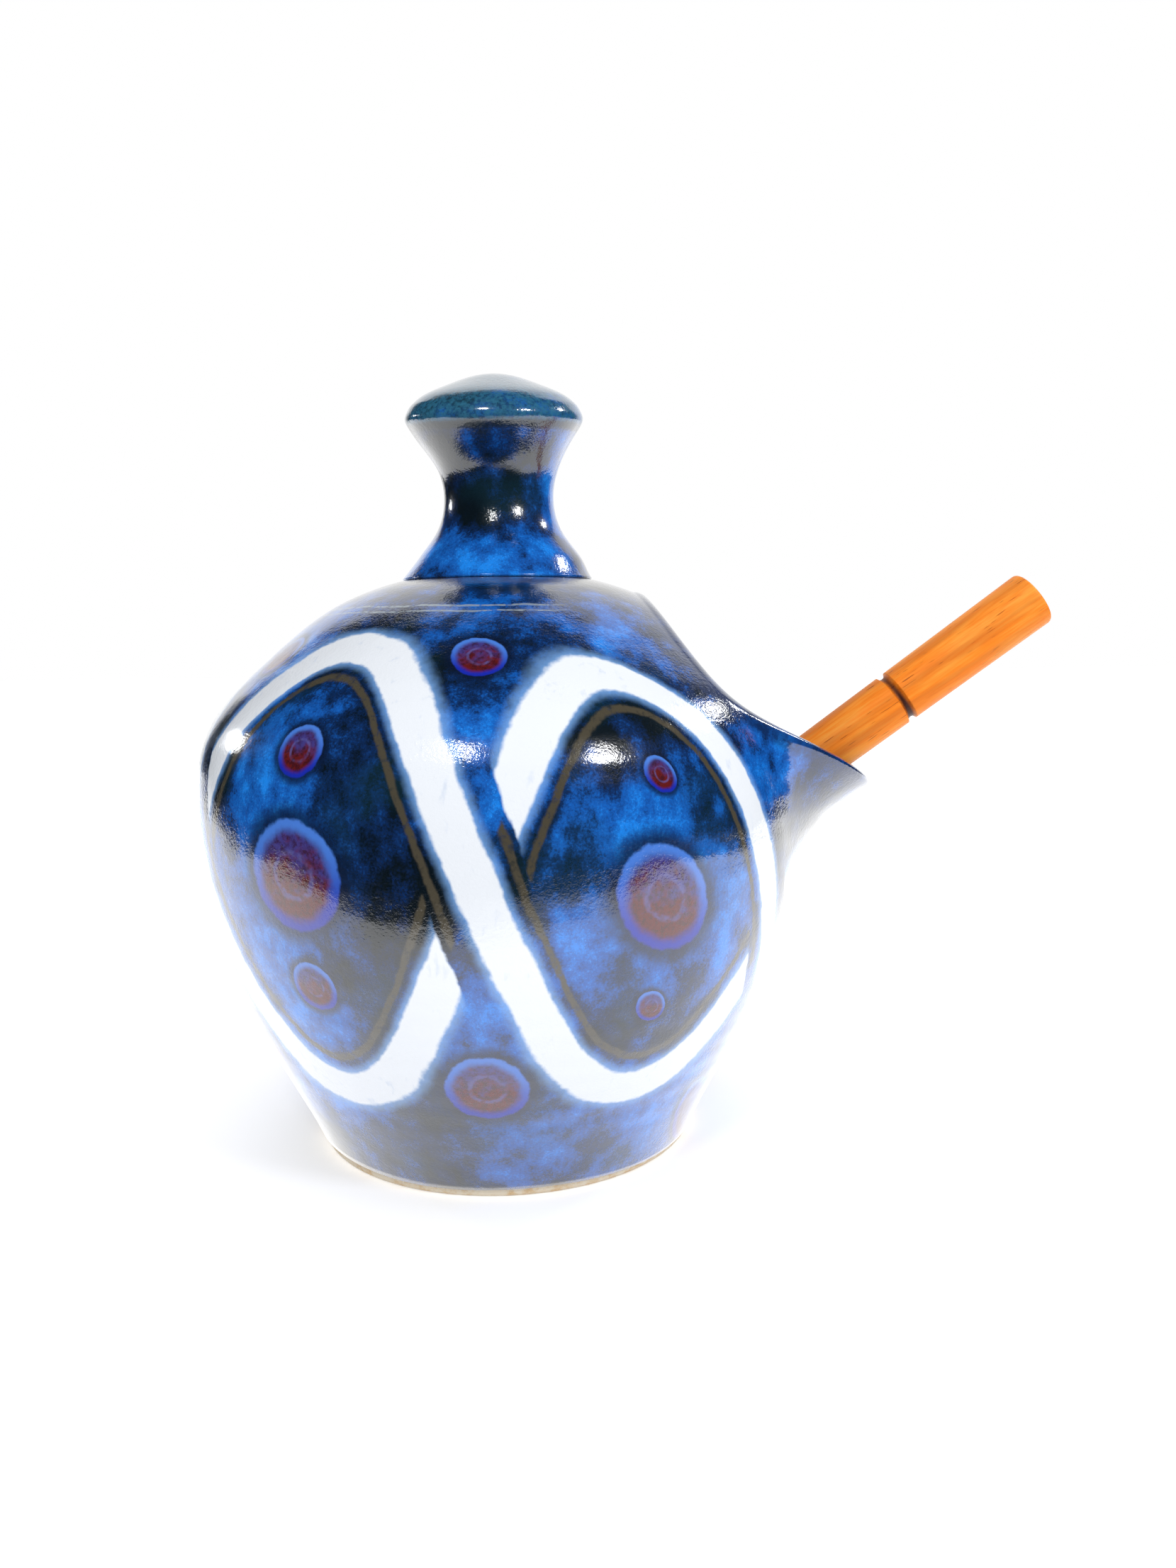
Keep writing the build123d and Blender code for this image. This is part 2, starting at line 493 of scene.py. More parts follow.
@dataclass(frozen=True)
class CobaltGlaze:
    """Glossy cobalt glaze, mottled from bright blue to near black.

    Attributes:
        bright: Colour of the thick, bright patches.
        middle: Colour of the plain glaze.
        deep: Colour between the plain glaze and the dark patches.
        dark: Colour where the iron under the glaze shows.
        crystal: Colour of the fine light specks.
        tint: Greener tone of some patches.
        tint_share: How much of it.
        patch: Size of the largest patches, in millimetres as all sizes here.
        run: Size of the runs across the wall.
        run_stretch: How much longer they are down the wall, as one over that.
        cloud: Size of the small clouds.
        grain: Size of the fine grain.
        speck: Size of the light specks.
        gloss: Roughness of the glaze's surface.
        refraction: Its index of refraction.
        under_gloss: Roughness of the crystals just under it.
        under_refraction: Their index of refraction.
        wave: Size of the surface's slight waves.
        peel: Size of the finer unevenness that breaks up highlights.
        relief: Height of the waves.
    """

    bright: Rgb = (0.006, 0.24, 0.85)
    middle: Rgb = (0.003, 0.1, 0.45)
    deep: Rgb = (0.002, 0.022, 0.1)
    dark: Rgb = (0.002, 0.007, 0.012)
    crystal: Rgb = (0.06, 0.36, 0.95)
    tint: Rgb = (0.012, 0.1, 0.16)
    tint_share: float = 0.12
    patch: float = 26.0
    run: float = 5.0
    run_stretch: float = 0.28
    cloud: float = 4.0
    grain: float = 0.42
    speck: float = 0.32
    gloss: float = 0.03
    refraction: float = 1.62
    under_gloss: float = 0.22
    under_refraction: float = 1.42
    wave: float = 7.0
    peel: float = 0.65
    relief: float = 0.12

    def ground(self, recipe: Recipe, darker: Formula | float = 0.0) -> Socket:
        """The mottled ground colour, from large patches, runs down the wall, small clouds and fine grain.

        Args:
            recipe: The material in the making.
            darker: How much the painting darkens the glaze at each place.

        Returns:
            The colour.
        """
        patches = recipe.noise(self.patch, 2.0, 0.5).between(0.3, 0.7)
        down_wall = recipe.turned((0.0, 0.0, 0.0), (1.0, 1.0, self.run_stretch))
        runs = recipe.noise(self.run, 3.0, 0.6, down_wall)
        clouds = recipe.noise(self.cloud, 3.0, 0.6)
        grain = recipe.noise(self.grain, 3.0, 0.7)
        level = patches * 0.46 + runs * 0.6 + clouds * 0.75 + grain * 0.5 - 0.7 - darker
        low = recipe.mixed(level.between(0.12, 0.4), self.dark, self.deep)
        plain = recipe.mixed(level.between(0.34, 0.6), low, self.middle)
        full = recipe.mixed(level.between(0.56, 0.86), plain, self.bright)
        crystals = recipe.noise(self.speck, 1.0, 0.5).between(0.62, 0.74) * level.between(0.45, 0.8)
        full = recipe.mixed(crystals * 0.5, full, self.crystal)
        elsewhere = recipe.turned((40.0, 0.0, 70.0), (1.0, 1.0, 1.0))
        green = recipe.noise(17.0, 2.0, 0.5, elsewhere).between(0.5, 0.7)
        return recipe.mixed(green * self.tint_share, full, self.tint)

    def surface(self, recipe: Recipe) -> None:
        """Gloss, refraction, a slight waviness and the fine grain that breaks up highlights.

        Args:
            recipe: The material in the making.
        """
        recipe.gloss(self.under_gloss, self.under_refraction)
        recipe.shader.inputs["Coat Weight"].default_value = 1.0
        recipe.shader.inputs["Coat Roughness"].default_value = self.gloss
        recipe.shader.inputs["Coat IOR"].default_value = self.refraction
        peel = recipe.noise(self.peel, 2.0, 0.7) * recipe.noise(12.0, 2.0, 0.5).between(0.36, 0.6, 0.2, 0.5)
        recipe.relief(recipe.noise(self.wave, 2.0, 0.4) + peel, self.relief)

    def made(self, name: str) -> bpy.types.Material:
        """The finished material.

        Args:
            name: Its name.

        Returns:
            The material.
        """
        recipe = Recipe(name)
        recipe.colour(self.ground(recipe))
        self.surface(recipe)
        return recipe.material


@dataclass(frozen=True)
class Spot:
    """A kind of spot in the painting.

    Attributes:
        at_crossing: Whether it is above or below a crossing, and not in an eye.
        climb: Its climb over the height of the crossings, in degrees.
        radius: Its radius in millimetres.
        shrink: How much smaller it is under the mouth.
    """

    at_crossing: bool
    climb: float
    radius: float
    shrink: float


@dataclass(frozen=True)
class PaintedGlaze(CobaltGlaze):
    """The cobalt glaze with its painting: two interlaced bands round the pot, and spots in their eyes.

    A place on the pot is its turn about Z and its climb seen from a point on the axis. The two bands
    climb and fall as plus and minus a wave that comes three times, and take turns in front. The wave is
    the sine of a cosine, whose turns are rounder than a cosine's own. Below the mouth the bands run
    lower and flatter. Lengths are in millimetres and angles in degrees.

    Attributes:
        white: Colour of the bands.
        edge: Colour where the white bleeds into the glaze.
        iron: Colour of the thin lines beside the bands.
        line: Colour of the rings of painted highlight on the shoulder.
        centre_height: Height of the point on the axis.
        middle_climb: Climb at which the bands cross.
        swing: Climb from there to a band's highest place.
        roundness: How much rounder than a cosine's the turns are, in radians.
        half_width: Half the width of a band.
        line_gap: Distance from a band's middle to the lines beside it.
        line_half_width: Half the width of such a line.
        clear_width: Distance from the front band's middle that it clears of the other.
        waves: How many times each band climbs and falls round the pot.
        mouth_drop: How much lower the bands cross below the mouth.
        mouth_flatter: How much less they swing there.
        starts: Climbs between which the painting begins above the foot.
        shoulder: Heights between which the glaze runs thin at the top of the shoulder.
        ring_highlights: Height and half the width of both rings of painted highlight on the shoulder.
        knob_band: Heights between which the iron band round the knob's foot begins.
        halo: Colour of the deep cobalt about a spot.
        spot_rim: Colours of a spot's rim at its lower and its upper side.
        spot_heart: Colours of its middle at its lower and its upper side.
        fleck: Colour of the dark flecks in it.
        spot_ring: Colour of the ring in it.
        spots: The kinds of spot, each of which comes twice in every wave.
    """

    white: Rgb = (0.86, 0.9, 0.96)
    edge: Rgb = (0.2, 0.42, 0.82)
    iron: Rgb = (0.07, 0.06, 0.04)
    line: Rgb = (0.3, 0.36, 0.4)
    centre_height: float = 60.0
    middle_climb: float = 3.0
    swing: float = 40.0
    roundness: float = 1.1
    half_width: float = 3.7
    line_gap: float = 7.4
    line_half_width: float = 0.8
    clear_width: float = 9.6
    waves: float = 3.0
    mouth_drop: float = 24.0
    mouth_flatter: float = 23.0
    starts: Point = (-52.0, -46.0)
    shoulder: Point = (104.0, 111.0)
    ring_highlights: tuple[Point, Point] = ((107.2, 0.16), (106.2, 0.13))
    knob_band: Point = (111.1, 111.8)
    halo: Rgb = (0.002, 0.008, 0.03)
    spot_rim: tuple[Rgb, Rgb] = ((0.006, 0.02, 0.4), (0.06, 0.2, 0.68))
    spot_heart: tuple[Rgb, Rgb] = ((0.12, 0.008, 0.008), (0.05, 0.04, 0.22))
    fleck: Rgb = (0.03, 0.004, 0.012)
    spot_ring: Rgb = (0.12, 0.13, 0.42)
    spots: tuple[Spot, ...] = (
        Spot(False, 0.0, 9.4, 2.0),
        Spot(False, 19.0, 4.6, 9.0),
        Spot(False, -19.0, 4.6, 9.0),
        Spot(True, -37.0, 7.2, 0.0),
        Spot(True, 38.0, 5.0, 14.0),
    )

    def made(self, name: str) -> bpy.types.Material:
        """The finished material.

        Args:
            name: Its name.

        Returns:
            The material.
        """
        recipe = Recipe(name)
        x, y, z = (axis * (1 / MM) for axis in recipe.axes())
        across = (x * x + y * y).root().larger(0.01)
        rise = z - self.centre_height
        reach = (across * across + rise * rise).root()
        turn = y.worked("ARCTAN2", x)
        climb = rise.worked("ARCTAN2", across)
        mouth = (x / across * 0.5 + 0.5).worked("POWER", 6.0)
        middle = math.radians(self.middle_climb) - mouth * math.radians(self.mouth_drop)
        swing = math.radians(self.swing) - mouth * math.radians(self.mouth_flatter)

        wave, lean = (turn * self.waves).cosine() * self.roundness, (turn * self.waves).sine()
        full = math.sin(self.roundness)
        phase = wave.sine() / full * swing
        steep = wave.cosine() * lean * swing * (self.waves * self.roundness / full) * reach / across
        scale = reach / (steep * steep + 1.0).root()
        wobble = (recipe.noise(7.0, 2.0, 0.5) - 0.5) * 1.6 + (recipe.noise(1.3, 2.0, 0.5) - 0.5) * 0.7
        one = ((climb - middle - phase) * scale + wobble).size()
        two = ((climb - middle + phase) * scale + wobble).size()
        first = lean.worked("GREATER_THAN", 0.0)
        front = two + (one - two) * first
        back = one + two - front
        in_eye = (phase.size() - (climb - middle).size()).between(-0.01, 0.02)
        shown = front.between(self.clear_width - 0.4, self.clear_width + 0.4)

        def both(mark: Callable[[Formula], Formula]) -> Formula:
            """A mark of both bands, with the one behind cut where the front one passes."""
            return mark(front).larger(mark(back) * shown)

        bands = both(lambda far: far.near(self.half_width, 0.8))
        bleed = both(lambda far: far.near(self.half_width + 1.0, 2.4))
        lines = both(lambda far: (far - self.line_gap).size().near(self.line_half_width, 0.7))
        shade = both(lambda far: (far - self.line_gap).size().near(1.9, 3.4))
        on_wall = climb.between(*(math.radians(angle) for angle in self.starts))
        on_wall = on_wall * mouth.between(0.9, 1.1, 1.0, 0.0)

        colour = self.ground(recipe, shade * in_eye * on_wall * 0.16 + z.between(*self.shoulder) * 0.12)
        broken = recipe.noise(1.6, 3.0, 0.65).between(0.3, 0.5, 0.45, 1.0)
        colour = recipe.mixed(lines * in_eye * on_wall * broken, colour, self.iron)
        streak = recipe.noise(2.6, 3.0, 0.6, recipe.turned((0.0, 0.0, 0.0), (1.0, 1.0, 0.35)))
        colour = recipe.mixed(bleed * on_wall * 0.75, colour, self.edge)
        colour = recipe.mixed(bands * on_wall * streak.between(0.24, 0.4, 0.8, 1.0), colour, self.white)
        for spot in self.spots:
            folded = (turn * (2 * self.waves)).cosine() * (-1.0 if spot.at_crossing else 1.0)
            angle = folded.worked("MINIMUM", 1.0).larger(-1.0).worked("ARCCOSINE")
            sideways = angle * across / (2 * self.waves)
            upward = (climb - middle - math.radians(spot.climb)) * reach
            colour = self.spot(recipe, colour, sideways, upward, spot.radius - mouth * spot.shrink)
        colour = self.ringed(recipe, colour, z, mouth)
        patchy = recipe.noise(1.2, 2.0, 0.6).between(0.3, 0.6, 0.5, 0.9)
        recipe.colour(recipe.mixed(recipe.stain_and_shade() * patchy, colour, self.deep))
        self.surface(recipe)
        return recipe.material

    def ringed(self, recipe: Recipe, under: Socket, height: Formula, mouth: Formula) -> Socket:
        """The iron band round the knob's foot, and pale rings of painted highlight on the shoulder below it.

        Args:
            recipe: The material in the making.
            under: The colour so far.
            height: Height in millimetres.
            mouth: How near the place is to the mouth.

        Returns:
            The colour with the rings over it.
        """
        wander = (recipe.noise(9.0, 2.0, 0.5) - 0.5) * 0.9
        broken = recipe.noise(1.4, 2.0, 0.6).between(0.36, 0.52, 0.1, 0.75)
        # Pale rings of painted highlight, where the throwing rings on the shoulder would catch the light.
        upper, lower = ((height + wander - at).size().near(half, 0.16) for at, half in self.ring_highlights)
        away = mouth.between(0.04, 0.16, 1.0, 0.0)
        colour = recipe.mixed(upper.larger(lower) * broken * away, under, self.line)
        band = (height + wander * 0.5).between(*self.knob_band)
        return recipe.mixed(band * recipe.noise(1.1, 3.0, 0.6).between(0.3, 0.6, 0.6, 1.0), colour, self.iron)

    def spot(
        self, recipe: Recipe, under: Socket, sideways: Formula, upward: Formula, radius: Formula
    ) -> Socket:
        """A round spot of copper red in a violet rim, with a ring in it, and deep cobalt about it.

        Args:
            recipe: The material in the making.
            under: The colour so far.
            sideways: Distance from its middle round the wall.
            upward: Distance from its middle up the wall.
            radius: Its radius.

        Returns:
            The colour with the spot over it.
        """
        there = radius.between(0.5, 2.0)
        radius = radius.larger(0.5)
        wobble = (recipe.noise(3.0, 2.0, 0.5) - 0.5) * 0.14 + (recipe.noise(0.8, 2.0, 0.5) - 0.5) * 0.06
        out = (sideways * sideways + upward * upward).root() / radius + wobble
        colour = recipe.mixed(out.near(1.25, 0.4) * there * 0.85, under, self.halo)
        rim = recipe.mixed((upward / radius).between(-0.7, 0.7), *self.spot_rim)
        colour = recipe.mixed(out.near(1.0, 0.08) * there, colour, rim)
        sunk = upward / radius * 0.5 + (recipe.noise(2.2, 3.0, 0.6) - 0.5) * 1.3
        heart = recipe.mixed(sunk.between(-0.2, 0.35), *self.spot_heart)
        flecks = recipe.noise(1.0, 3.0, 0.7).between(0.42, 0.66)
        heart = recipe.mixed(flecks * 0.7, heart, self.fleck)
        colour = recipe.mixed(out.near(0.8, 0.24) * there, colour, heart)
        ring = (out - 0.42).size().near(0.05, 0.08) * there
        faint = recipe.noise(1.6, 2.0, 0.6).between(0.35, 0.6, 0.1, 0.5)
        return recipe.mixed(ring * faint, colour, self.spot_ring)


@dataclass(frozen=True)
class KnobGlaze(CobaltGlaze):
    """The cobalt glaze on the knob: bright at the foot, dark on the neck, and a greener cap with painted
    shade under its edge.

    Attributes:
        cap: Greener colour of the cap.
        crown: Paler colour on top of it.
        under_cap_shade: Colour of the line of painted shade under the cap's edge.
        neck: Heights between which the bright foot turns into the dark neck.
        cap_height: Height of the cap's edge in millimetres.
        shade_below: How far that line of painted shade is below it.
        cap_starts: How far from it the cap's own glaze begins.
        crown_starts: How far above it the crown begins.
    """

    cap: Rgb = (0.025, 0.14, 0.24)
    crown: Rgb = (0.17, 0.23, 0.28)
    under_cap_shade: Rgb = (0.004, 0.012, 0.02)
    neck: Point = (119.0, 125.0)
    cap_height: float = 144.4
    shade_below: float = 1.7
    cap_starts: Point = (-1.6, -0.8)
    crown_starts: Point = (3.6, 5.0)
    patch: float = 15.0

    def made(self, name: str) -> bpy.types.Material:
        """The finished material.

        Args:
            name: Its name.

        Returns:
            The material.
        """
        recipe = Recipe(name)
        across, depth, height = (axis * (1 / MM) for axis in recipe.axes())
        height = height - depth * SAG * height.between(*SAG_HEIGHTS)
        neck = height.between(*self.neck)
        # A line of painted shade under the cap's rolled edge: it darkens the ground and is then covered with
        # its colour.
        edge = (height - self.cap_height + self.shade_below).size().near(0.7, 0.9)
        colour = self.ground(recipe, neck * (0.2 - across * 0.016) - 0.1 + edge * 0.2)
        grain = recipe.noise(0.9, 3.0, 0.7).between(0.34, 0.64)
        on_cap = height.between(*(self.cap_height + up for up in self.cap_starts))
        colour = recipe.mixed(on_cap * (grain * 0.65 + 0.25), colour, self.cap)
        on_crown = height.between(*(self.cap_height + up for up in self.crown_starts))
        colour = recipe.mixed(on_crown * 0.5, colour, self.crown)
        colour = recipe.mixed(edge * 0.6, colour, self.under_cap_shade)
        recipe.colour(colour)
        self.surface(recipe)
        return recipe.material


@dataclass(frozen=True)
class BareClay:
    """Cream stoneware where the glaze was wiped off.

    Attributes:
        pale: Colour of the plain clay.
        shade: Colour of its toasted patches.
        dullness: Roughness of its surface.
        relief: Height of its grain in millimetres.
    """

    pale: Rgb = (0.86, 0.77, 0.62)
    shade: Rgb = (0.72, 0.5, 0.26)
    dullness: float = 0.8
    relief: float = 0.05

    def made(self, name: str) -> bpy.types.Material:
        """The finished material.

        Args:
            name: Its name.

        Returns:
            The material.
        """
        recipe = Recipe(name)
        recipe.colour(recipe.mixed(recipe.noise(3.0, 4.0, 0.7).between(0.4, 0.7), self.pale, self.shade))
        recipe.gloss(self.dullness)
        recipe.relief(recipe.noise(0.6, 3.0, 0.7), self.relief)
        return recipe.material


@dataclass(frozen=True)
class OiledWood:
    """Orange-brown wood, oiled, with long grain, open pores and growth rings at its ends.

    Attributes:
        pale: Colour of the early wood.
        body: Colour of most of the wood.
        red: Colour of the streaks.
        pore_and_shade: Colour of the pores, and of the shade painted in the groove.
        lean: Angle of the grain below the horizontal, in degrees.
        grain_tilt: Angle between the grain and the spoon's axis, in degrees.
        pith: How far the middle of the growth rings is from the spoon, across and down, in millimetres.
        ring_pace: Angle of the growth rings' wave for each millimetre, in radians.
        dullness: Roughness of the oiled surface.
        refraction: Its index of refraction.
        relief: Height of the grain in millimetres.
    """

    pale: Rgb = (1.0, 0.36, 0.04)
    body: Rgb = (1.0, 0.25, 0.01)
    red: Rgb = (0.62, 0.14, 0.012)
    pore_and_shade: Rgb = (0.05, 0.01, 0.004)
    lean: float = 36.1
    grain_tilt: float = 2.5
    pith: Point = (9.0, 34.0)
    ring_pace: float = 1.5
    dullness: float = 0.45
    refraction: float = 1.3
    relief: float = 0.08

    def made(self, name: str) -> bpy.types.Material:
        """The finished material.

        Args:
            name: Its name.

        Returns:
            The material.
        """
        recipe = Recipe(name)
        tilt = (0.0, self.lean - self.grain_tilt, 0.0)
        _, across, up = recipe.split(recipe.turned(tilt, (1 / MM,) * 3))
        warp = (recipe.noise(16.0, 2.0, 0.5, recipe.turned(tilt, (0.16, 1.0, 1.0))) - 0.5) * 9.0
        beside, above = across + self.pith[0], up + self.pith[1]
        from_pith = (beside * beside + above * above).root()
        rings = ((from_pith + warp) * self.ring_pace).sine() * 0.5 + 0.5
        streaks = recipe.noise(3.4, 4.0, 0.62, recipe.turned(tilt, (0.09, 1.0, 1.0)))
        clouds = recipe.noise(8.0, 3.0, 0.6, recipe.turned(tilt, (0.4, 1.0, 1.0)))
        fibre = recipe.noise(0.6, 3.0, 0.6, recipe.turned(tilt, (0.06, 1.0, 1.0)))
        colour = recipe.mixed((clouds * 0.5 + fibre * 0.5).between(0.38, 0.6), self.pale, self.body)
        colour = recipe.mixed((rings * 0.16 + streaks - 0.1).between(0.38, 0.74) * 0.62, colour, self.red)
        colour = recipe.mixed(fibre.between(0.55, 0.75) * 0.3, colour, self.red)
        pores = recipe.noise(0.3, 1.0, 0.5, recipe.turned(tilt, (0.06, 1.0, 1.0))).between(0.7, 0.76)
        colour = recipe.mixed(pores * 0.5, colour, self.pore_and_shade)
        # The groove's painted shade, read from the mesh, in the dark pore colour.
        recipe.colour(recipe.mixed(recipe.stain_and_shade(), colour, self.pore_and_shade))
        recipe.gloss(self.dullness, self.refraction)
        recipe.relief(fibre * 0.7 - pores * 0.5 + streaks * 0.5, self.relief)
        return recipe.material


# The pieces


@dataclass
class Wall:
    """One side of the pot's wall: a wall of revolution and a tube about the mouth's axis.

    Attributes:
        angle: Angles from straight down, as seen from a point on the axis.
        distance: Distance of the wall at each angle.
        slope: Cosine of the wall's slope to the line of sight there.
        tube: Place along the mouth's axis, and radius of the tube there.
        blend: Width of the rounded joint of both below the mouth.
    """

    angle: np.ndarray
    distance: np.ndarray
    slope: np.ndarray
    tube: np.ndarray
    blend: float


@dataclass
class Pot:
    """The thrown pot: a closed wall of revolution and a collar pulled out of its shoulder.

    Rays from a point inside meet the outer wall once, and the inner wall once. The grid is a family of
    circles of such rays: they shrink from the foot to the rim, while their middle turns from straight
    up to the middle of the mouth and the point inside moves towards the mouth.

    Attributes:
        inside_height: Height of the point inside, on the axis, for the rows at the foot.
        columns: Points round each row.
        outer_rows: Rows on the outer wall.
        rim_rows: Rows across the rim.
        inner_rows: Rows on the inner wall.
        wall: Thickness of the wall.
        floor: Thickness of the floor.
        foot: Radius and height at which the wall rises from the foot.
        belly: Radii and heights that the outer wall passes from there up.
        seat: Radius and height at which the wall ends under the knob.
        glaze_edge: Height at which the glaze ends above the foot.
        mouth_centre: A point on the mouth's axis, as (x, z).
        mouth_climb: Angle by which the mouth's axis climbs, in degrees.
        collar: Places along that axis and radii of the collar's outside there.
        collar_blend: Width of the rounded joint of the collar and the wall.
        collar_wider: How much wider the collar is across than down.
        throat: Place and radius at the inner end of the throat.
        throat_blend: Width of the rounded joint of the throat and the inside.
        lip_wall: Thickness of the collar.
        rim_points: The line that the rim is cut to, as (x, z).
        rim_rounding: Length of the rounding at each of its edges.
        mouth_inside: The point inside, as (x, z), for the rows at the rim.
        mouth_tilt: Angle from straight up towards +X of the middle of the rim's circle.
        rim_between: Angles from there between which the rim is looked for, in degrees.
        rays_between: Distances from the point inside between which the wall is looked for.
        stain_fade: Distance from the rim over which its dark staining fades.
    """

    inside_height: float = 60.0
    columns: int = 320
    outer_rows: int = 176
    rim_rows: int = 16
    inner_rows: int = 72
    wall: float = 4.6
    floor: float = 6.0
    foot: Point = (38.6, 0.9)
    belly: tuple[Point, ...] = (
        (45.6, 15.0),
        (54.2, 33.0),
        (59.8, 51.0),
        (61.6, 67.0),
        (58.0, 84.6),
        (45.6, 98.0),
        (33.6, 107.2),
    )
    seat: Point = (19.6, 112.8)
    glaze_edge: float = 1.9
    mouth_centre: Point = (39.2, 77.8)
    mouth_climb: float = 45.0
    collar: tuple[Point, ...] = ((-12.0, 27.6), (4.0, 28.2), (14.0, 29.4), (26.0, 32.0))
    collar_blend: float = 7.5
    collar_wider: float = 1.03
    throat: Point = (-36.0, 22.0)
    throat_blend: float = 6.0
    lip_wall: float = 4.7
    rim_points: tuple[Point, ...] = (
        (24.2, 118.0),
        (29.6, 109.6),
        (36.2, 99.4),
        (43.8, 90.4),
        (55.0, 83.6),
        (70.0, 75.4),
        (90.0, 56.0),
    )
    rim_rounding: float = 1.9
    mouth_inside: Point = (24.0, 62.0)
    mouth_tilt: float = 41.0
    rim_between: Point = (15.0, 64.0)
    rays_between: Point = (5.0, 130.0)
    stain_fade: float = 2.2

    def __post_init__(self) -> None:
        """Works out the outlines that the walls follow."""
        self.wall_line = smooth_line([self.foot, *self.belly, self.seat], (0.4, 1.0), (-1.0, 0.26), 3000)
        along = unit(np.gradient(self.wall_line, axis=0))
        offset = self.wall_line + self.wall * np.stack([-along[:, 1], along[:, 0]], axis=1)
        kept = offset[(offset[:, 1] > self.floor + 4.0) & (offset[:, 0] > 9.0)]
        corner = smooth_line([(30.0, self.floor), tuple(kept[0])], (1.0, 0.1), tuple(kept[40] - kept[0]), 200)
        top = smooth_line([tuple(kept[-1]), (0.0, self.seat[1] - self.wall)], (-1.0, 0.2), (-1.0, 0.0), 100)
        outside = np.concatenate([self.wall_line, [(0.0, self.seat[1])]])
        inside = np.concatenate([[(0.0, self.floor)], corner, kept[1:], top])
        throat = [self.throat, *((along, radius - self.lip_wall) for along, radius in self.collar)]
        collar_line = smooth_line([(-60.0, 0.0), *self.collar, (60.0, 40.0)], count=800)
        throat_line = smooth_line([(-60.0, 0.0), *throat, (60.0, 36.0)], count=800)
        self.outer_wall = Wall(*self.polar(outside), collar_line, self.collar_blend)
        self.inner_wall = Wall(*self.polar(inside), throat_line, self.throat_blend)
        self.rim_line = smooth_line(self.rim_points, count=2000)

    def polar(self, line: np.ndarray) -> tuple[np.ndarray, np.ndarray, np.ndarray]:
        """A line of (radius, height) as seen from the inner point.

        Args:
            line: Points from below the inner point to above it.

        Returns:
            Angle from straight down, distance, and the cosine of the slope to the line of sight.
        """
        run = np.concatenate([[0.0], np.cumsum(np.linalg.norm(np.diff(line, axis=0), axis=1))])
        at = np.linspace(0, run[-1], 6000)
        radius, height = np.interp(at, run, line[:, 0]), np.interp(at, run, line[:, 1])
        angle = np.arctan2(radius, self.inside_height - height)
        distance = np.hypot(radius, height - self.inside_height)
        slope = np.gradient(distance, angle)
        return angle, distance, 1 / np.sqrt(1 + (slope / distance) ** 2)

    def directions(self, tilt: np.ndarray, reach: np.ndarray, turn: np.ndarray) -> np.ndarray:
        """Directions on circles of the sphere.

        A direction is cos(reach) times the circle's middle, plus sin(reach) times the sum of cos(turn)
        times the way down towards the mouth and sin(turn) times the way along Y.

        Args:
            tilt: Angle of the circle's middle from straight up towards +X.
            reach: Angle from the middle to the circle.
            turn: Angle round the circle.

        Returns:
            Unit vectors.
        """
        tilt, reach, turn = np.broadcast_arrays(tilt, reach, turn)
        across = np.sin(reach) * np.cos(turn)
        x = np.cos(reach) * np.sin(tilt) + across * np.cos(tilt)
        z = np.cos(reach) * np.cos(tilt) - across * np.sin(tilt)
        return np.stack([x, np.sin(reach) * np.sin(turn), z], axis=-1)

    def outside_by(self, points: np.ndarray, wall: Wall) -> np.ndarray:
        """Distance of points outside the wall of revolution joined with the tube about the mouth's axis.

        The joint of both is a third as wide above the mouth as it is below it.

        Args:
            points: Points in millimetres.
            wall: The outer or the inner wall.

        Returns:
            Distances, negative inside.
        """
        seen = points - (0.0, 0.0, self.inside_height)
        distance = np.linalg.norm(seen, axis=-1)
        angle = np.arctan2(np.hypot(seen[..., 0], seen[..., 1]), -seen[..., 2])
        beyond = distance - np.interp(angle, wall.angle, wall.distance)
        revolved_by = beyond * np.interp(angle, wall.angle, wall.slope)
        climb = math.radians(self.mouth_climb)
        x, z = points[..., 0] - self.mouth_centre[0], points[..., 2] - self.mouth_centre[1]
        along = x * math.cos(climb) + z * math.sin(climb)
        down = x * math.sin(climb) - z * math.cos(climb)
        from_axis = np.hypot(down, points[..., 1] / self.collar_wider)
        tube_by = from_axis - np.interp(along, wall.tube[:, 0], wall.tube[:, 1])
        lower = 0.5 + 0.5 * down / np.maximum(from_axis, 1e-6)
        return smooth_union(revolved_by, tube_by, wall.blend * (1 + 2 * lower) / 3)

    def on_wall(self, directions: np.ndarray, inner: bool, share: np.ndarray | float = 1.0) -> np.ndarray:
        """Points where rays from inside leave the outer or the inner wall.

        Args:
            directions: Unit vectors.
            inner: Whether it is the inner wall.
            share: How far the point inside has moved towards the mouth, one for each row.

        Returns:
            Points in millimetres.
        """
        wall = self.inner_wall if inner else self.outer_wall
        moved = np.array([self.mouth_inside[0], 0.0, self.mouth_inside[1] - self.inside_height])
        centre = np.array([0.0, 0.0, self.inside_height]) + np.asarray(share)[..., None] ** 2 * moved
        reach = crossing(
            lambda far: self.outside_by(centre + directions * far[..., None], wall),
            *(np.full(directions.shape[:-1], far) for far in self.rays_between),
        )
        return centre + directions * reach[..., None]

    def above_rim(self, points: np.ndarray) -> np.ndarray:
        """How far points lie above the line that the rim is cut to."""
        return points[..., 2] - np.interp(points[..., 0], self.rim_line[:, 0], self.rim_line[:, 1])

    def rim_reach(self, turn: np.ndarray, inner: bool) -> np.ndarray:
        """Where the cut of the rim meets the wall.

        Args:
            turn: Angles round the mouth.
            inner: Whether it is the inner wall.

        Returns:
            Angle from the middle of the mouth to the rim's edge, for each turn.
        """
        tilt = math.radians(self.mouth_tilt)
        return crossing(
            lambda reach: -self.above_rim(self.on_wall(self.directions(tilt, reach, turn), inner)),
            *(np.full(turn.shape, math.radians(angle)) for angle in self.rim_between),
        )

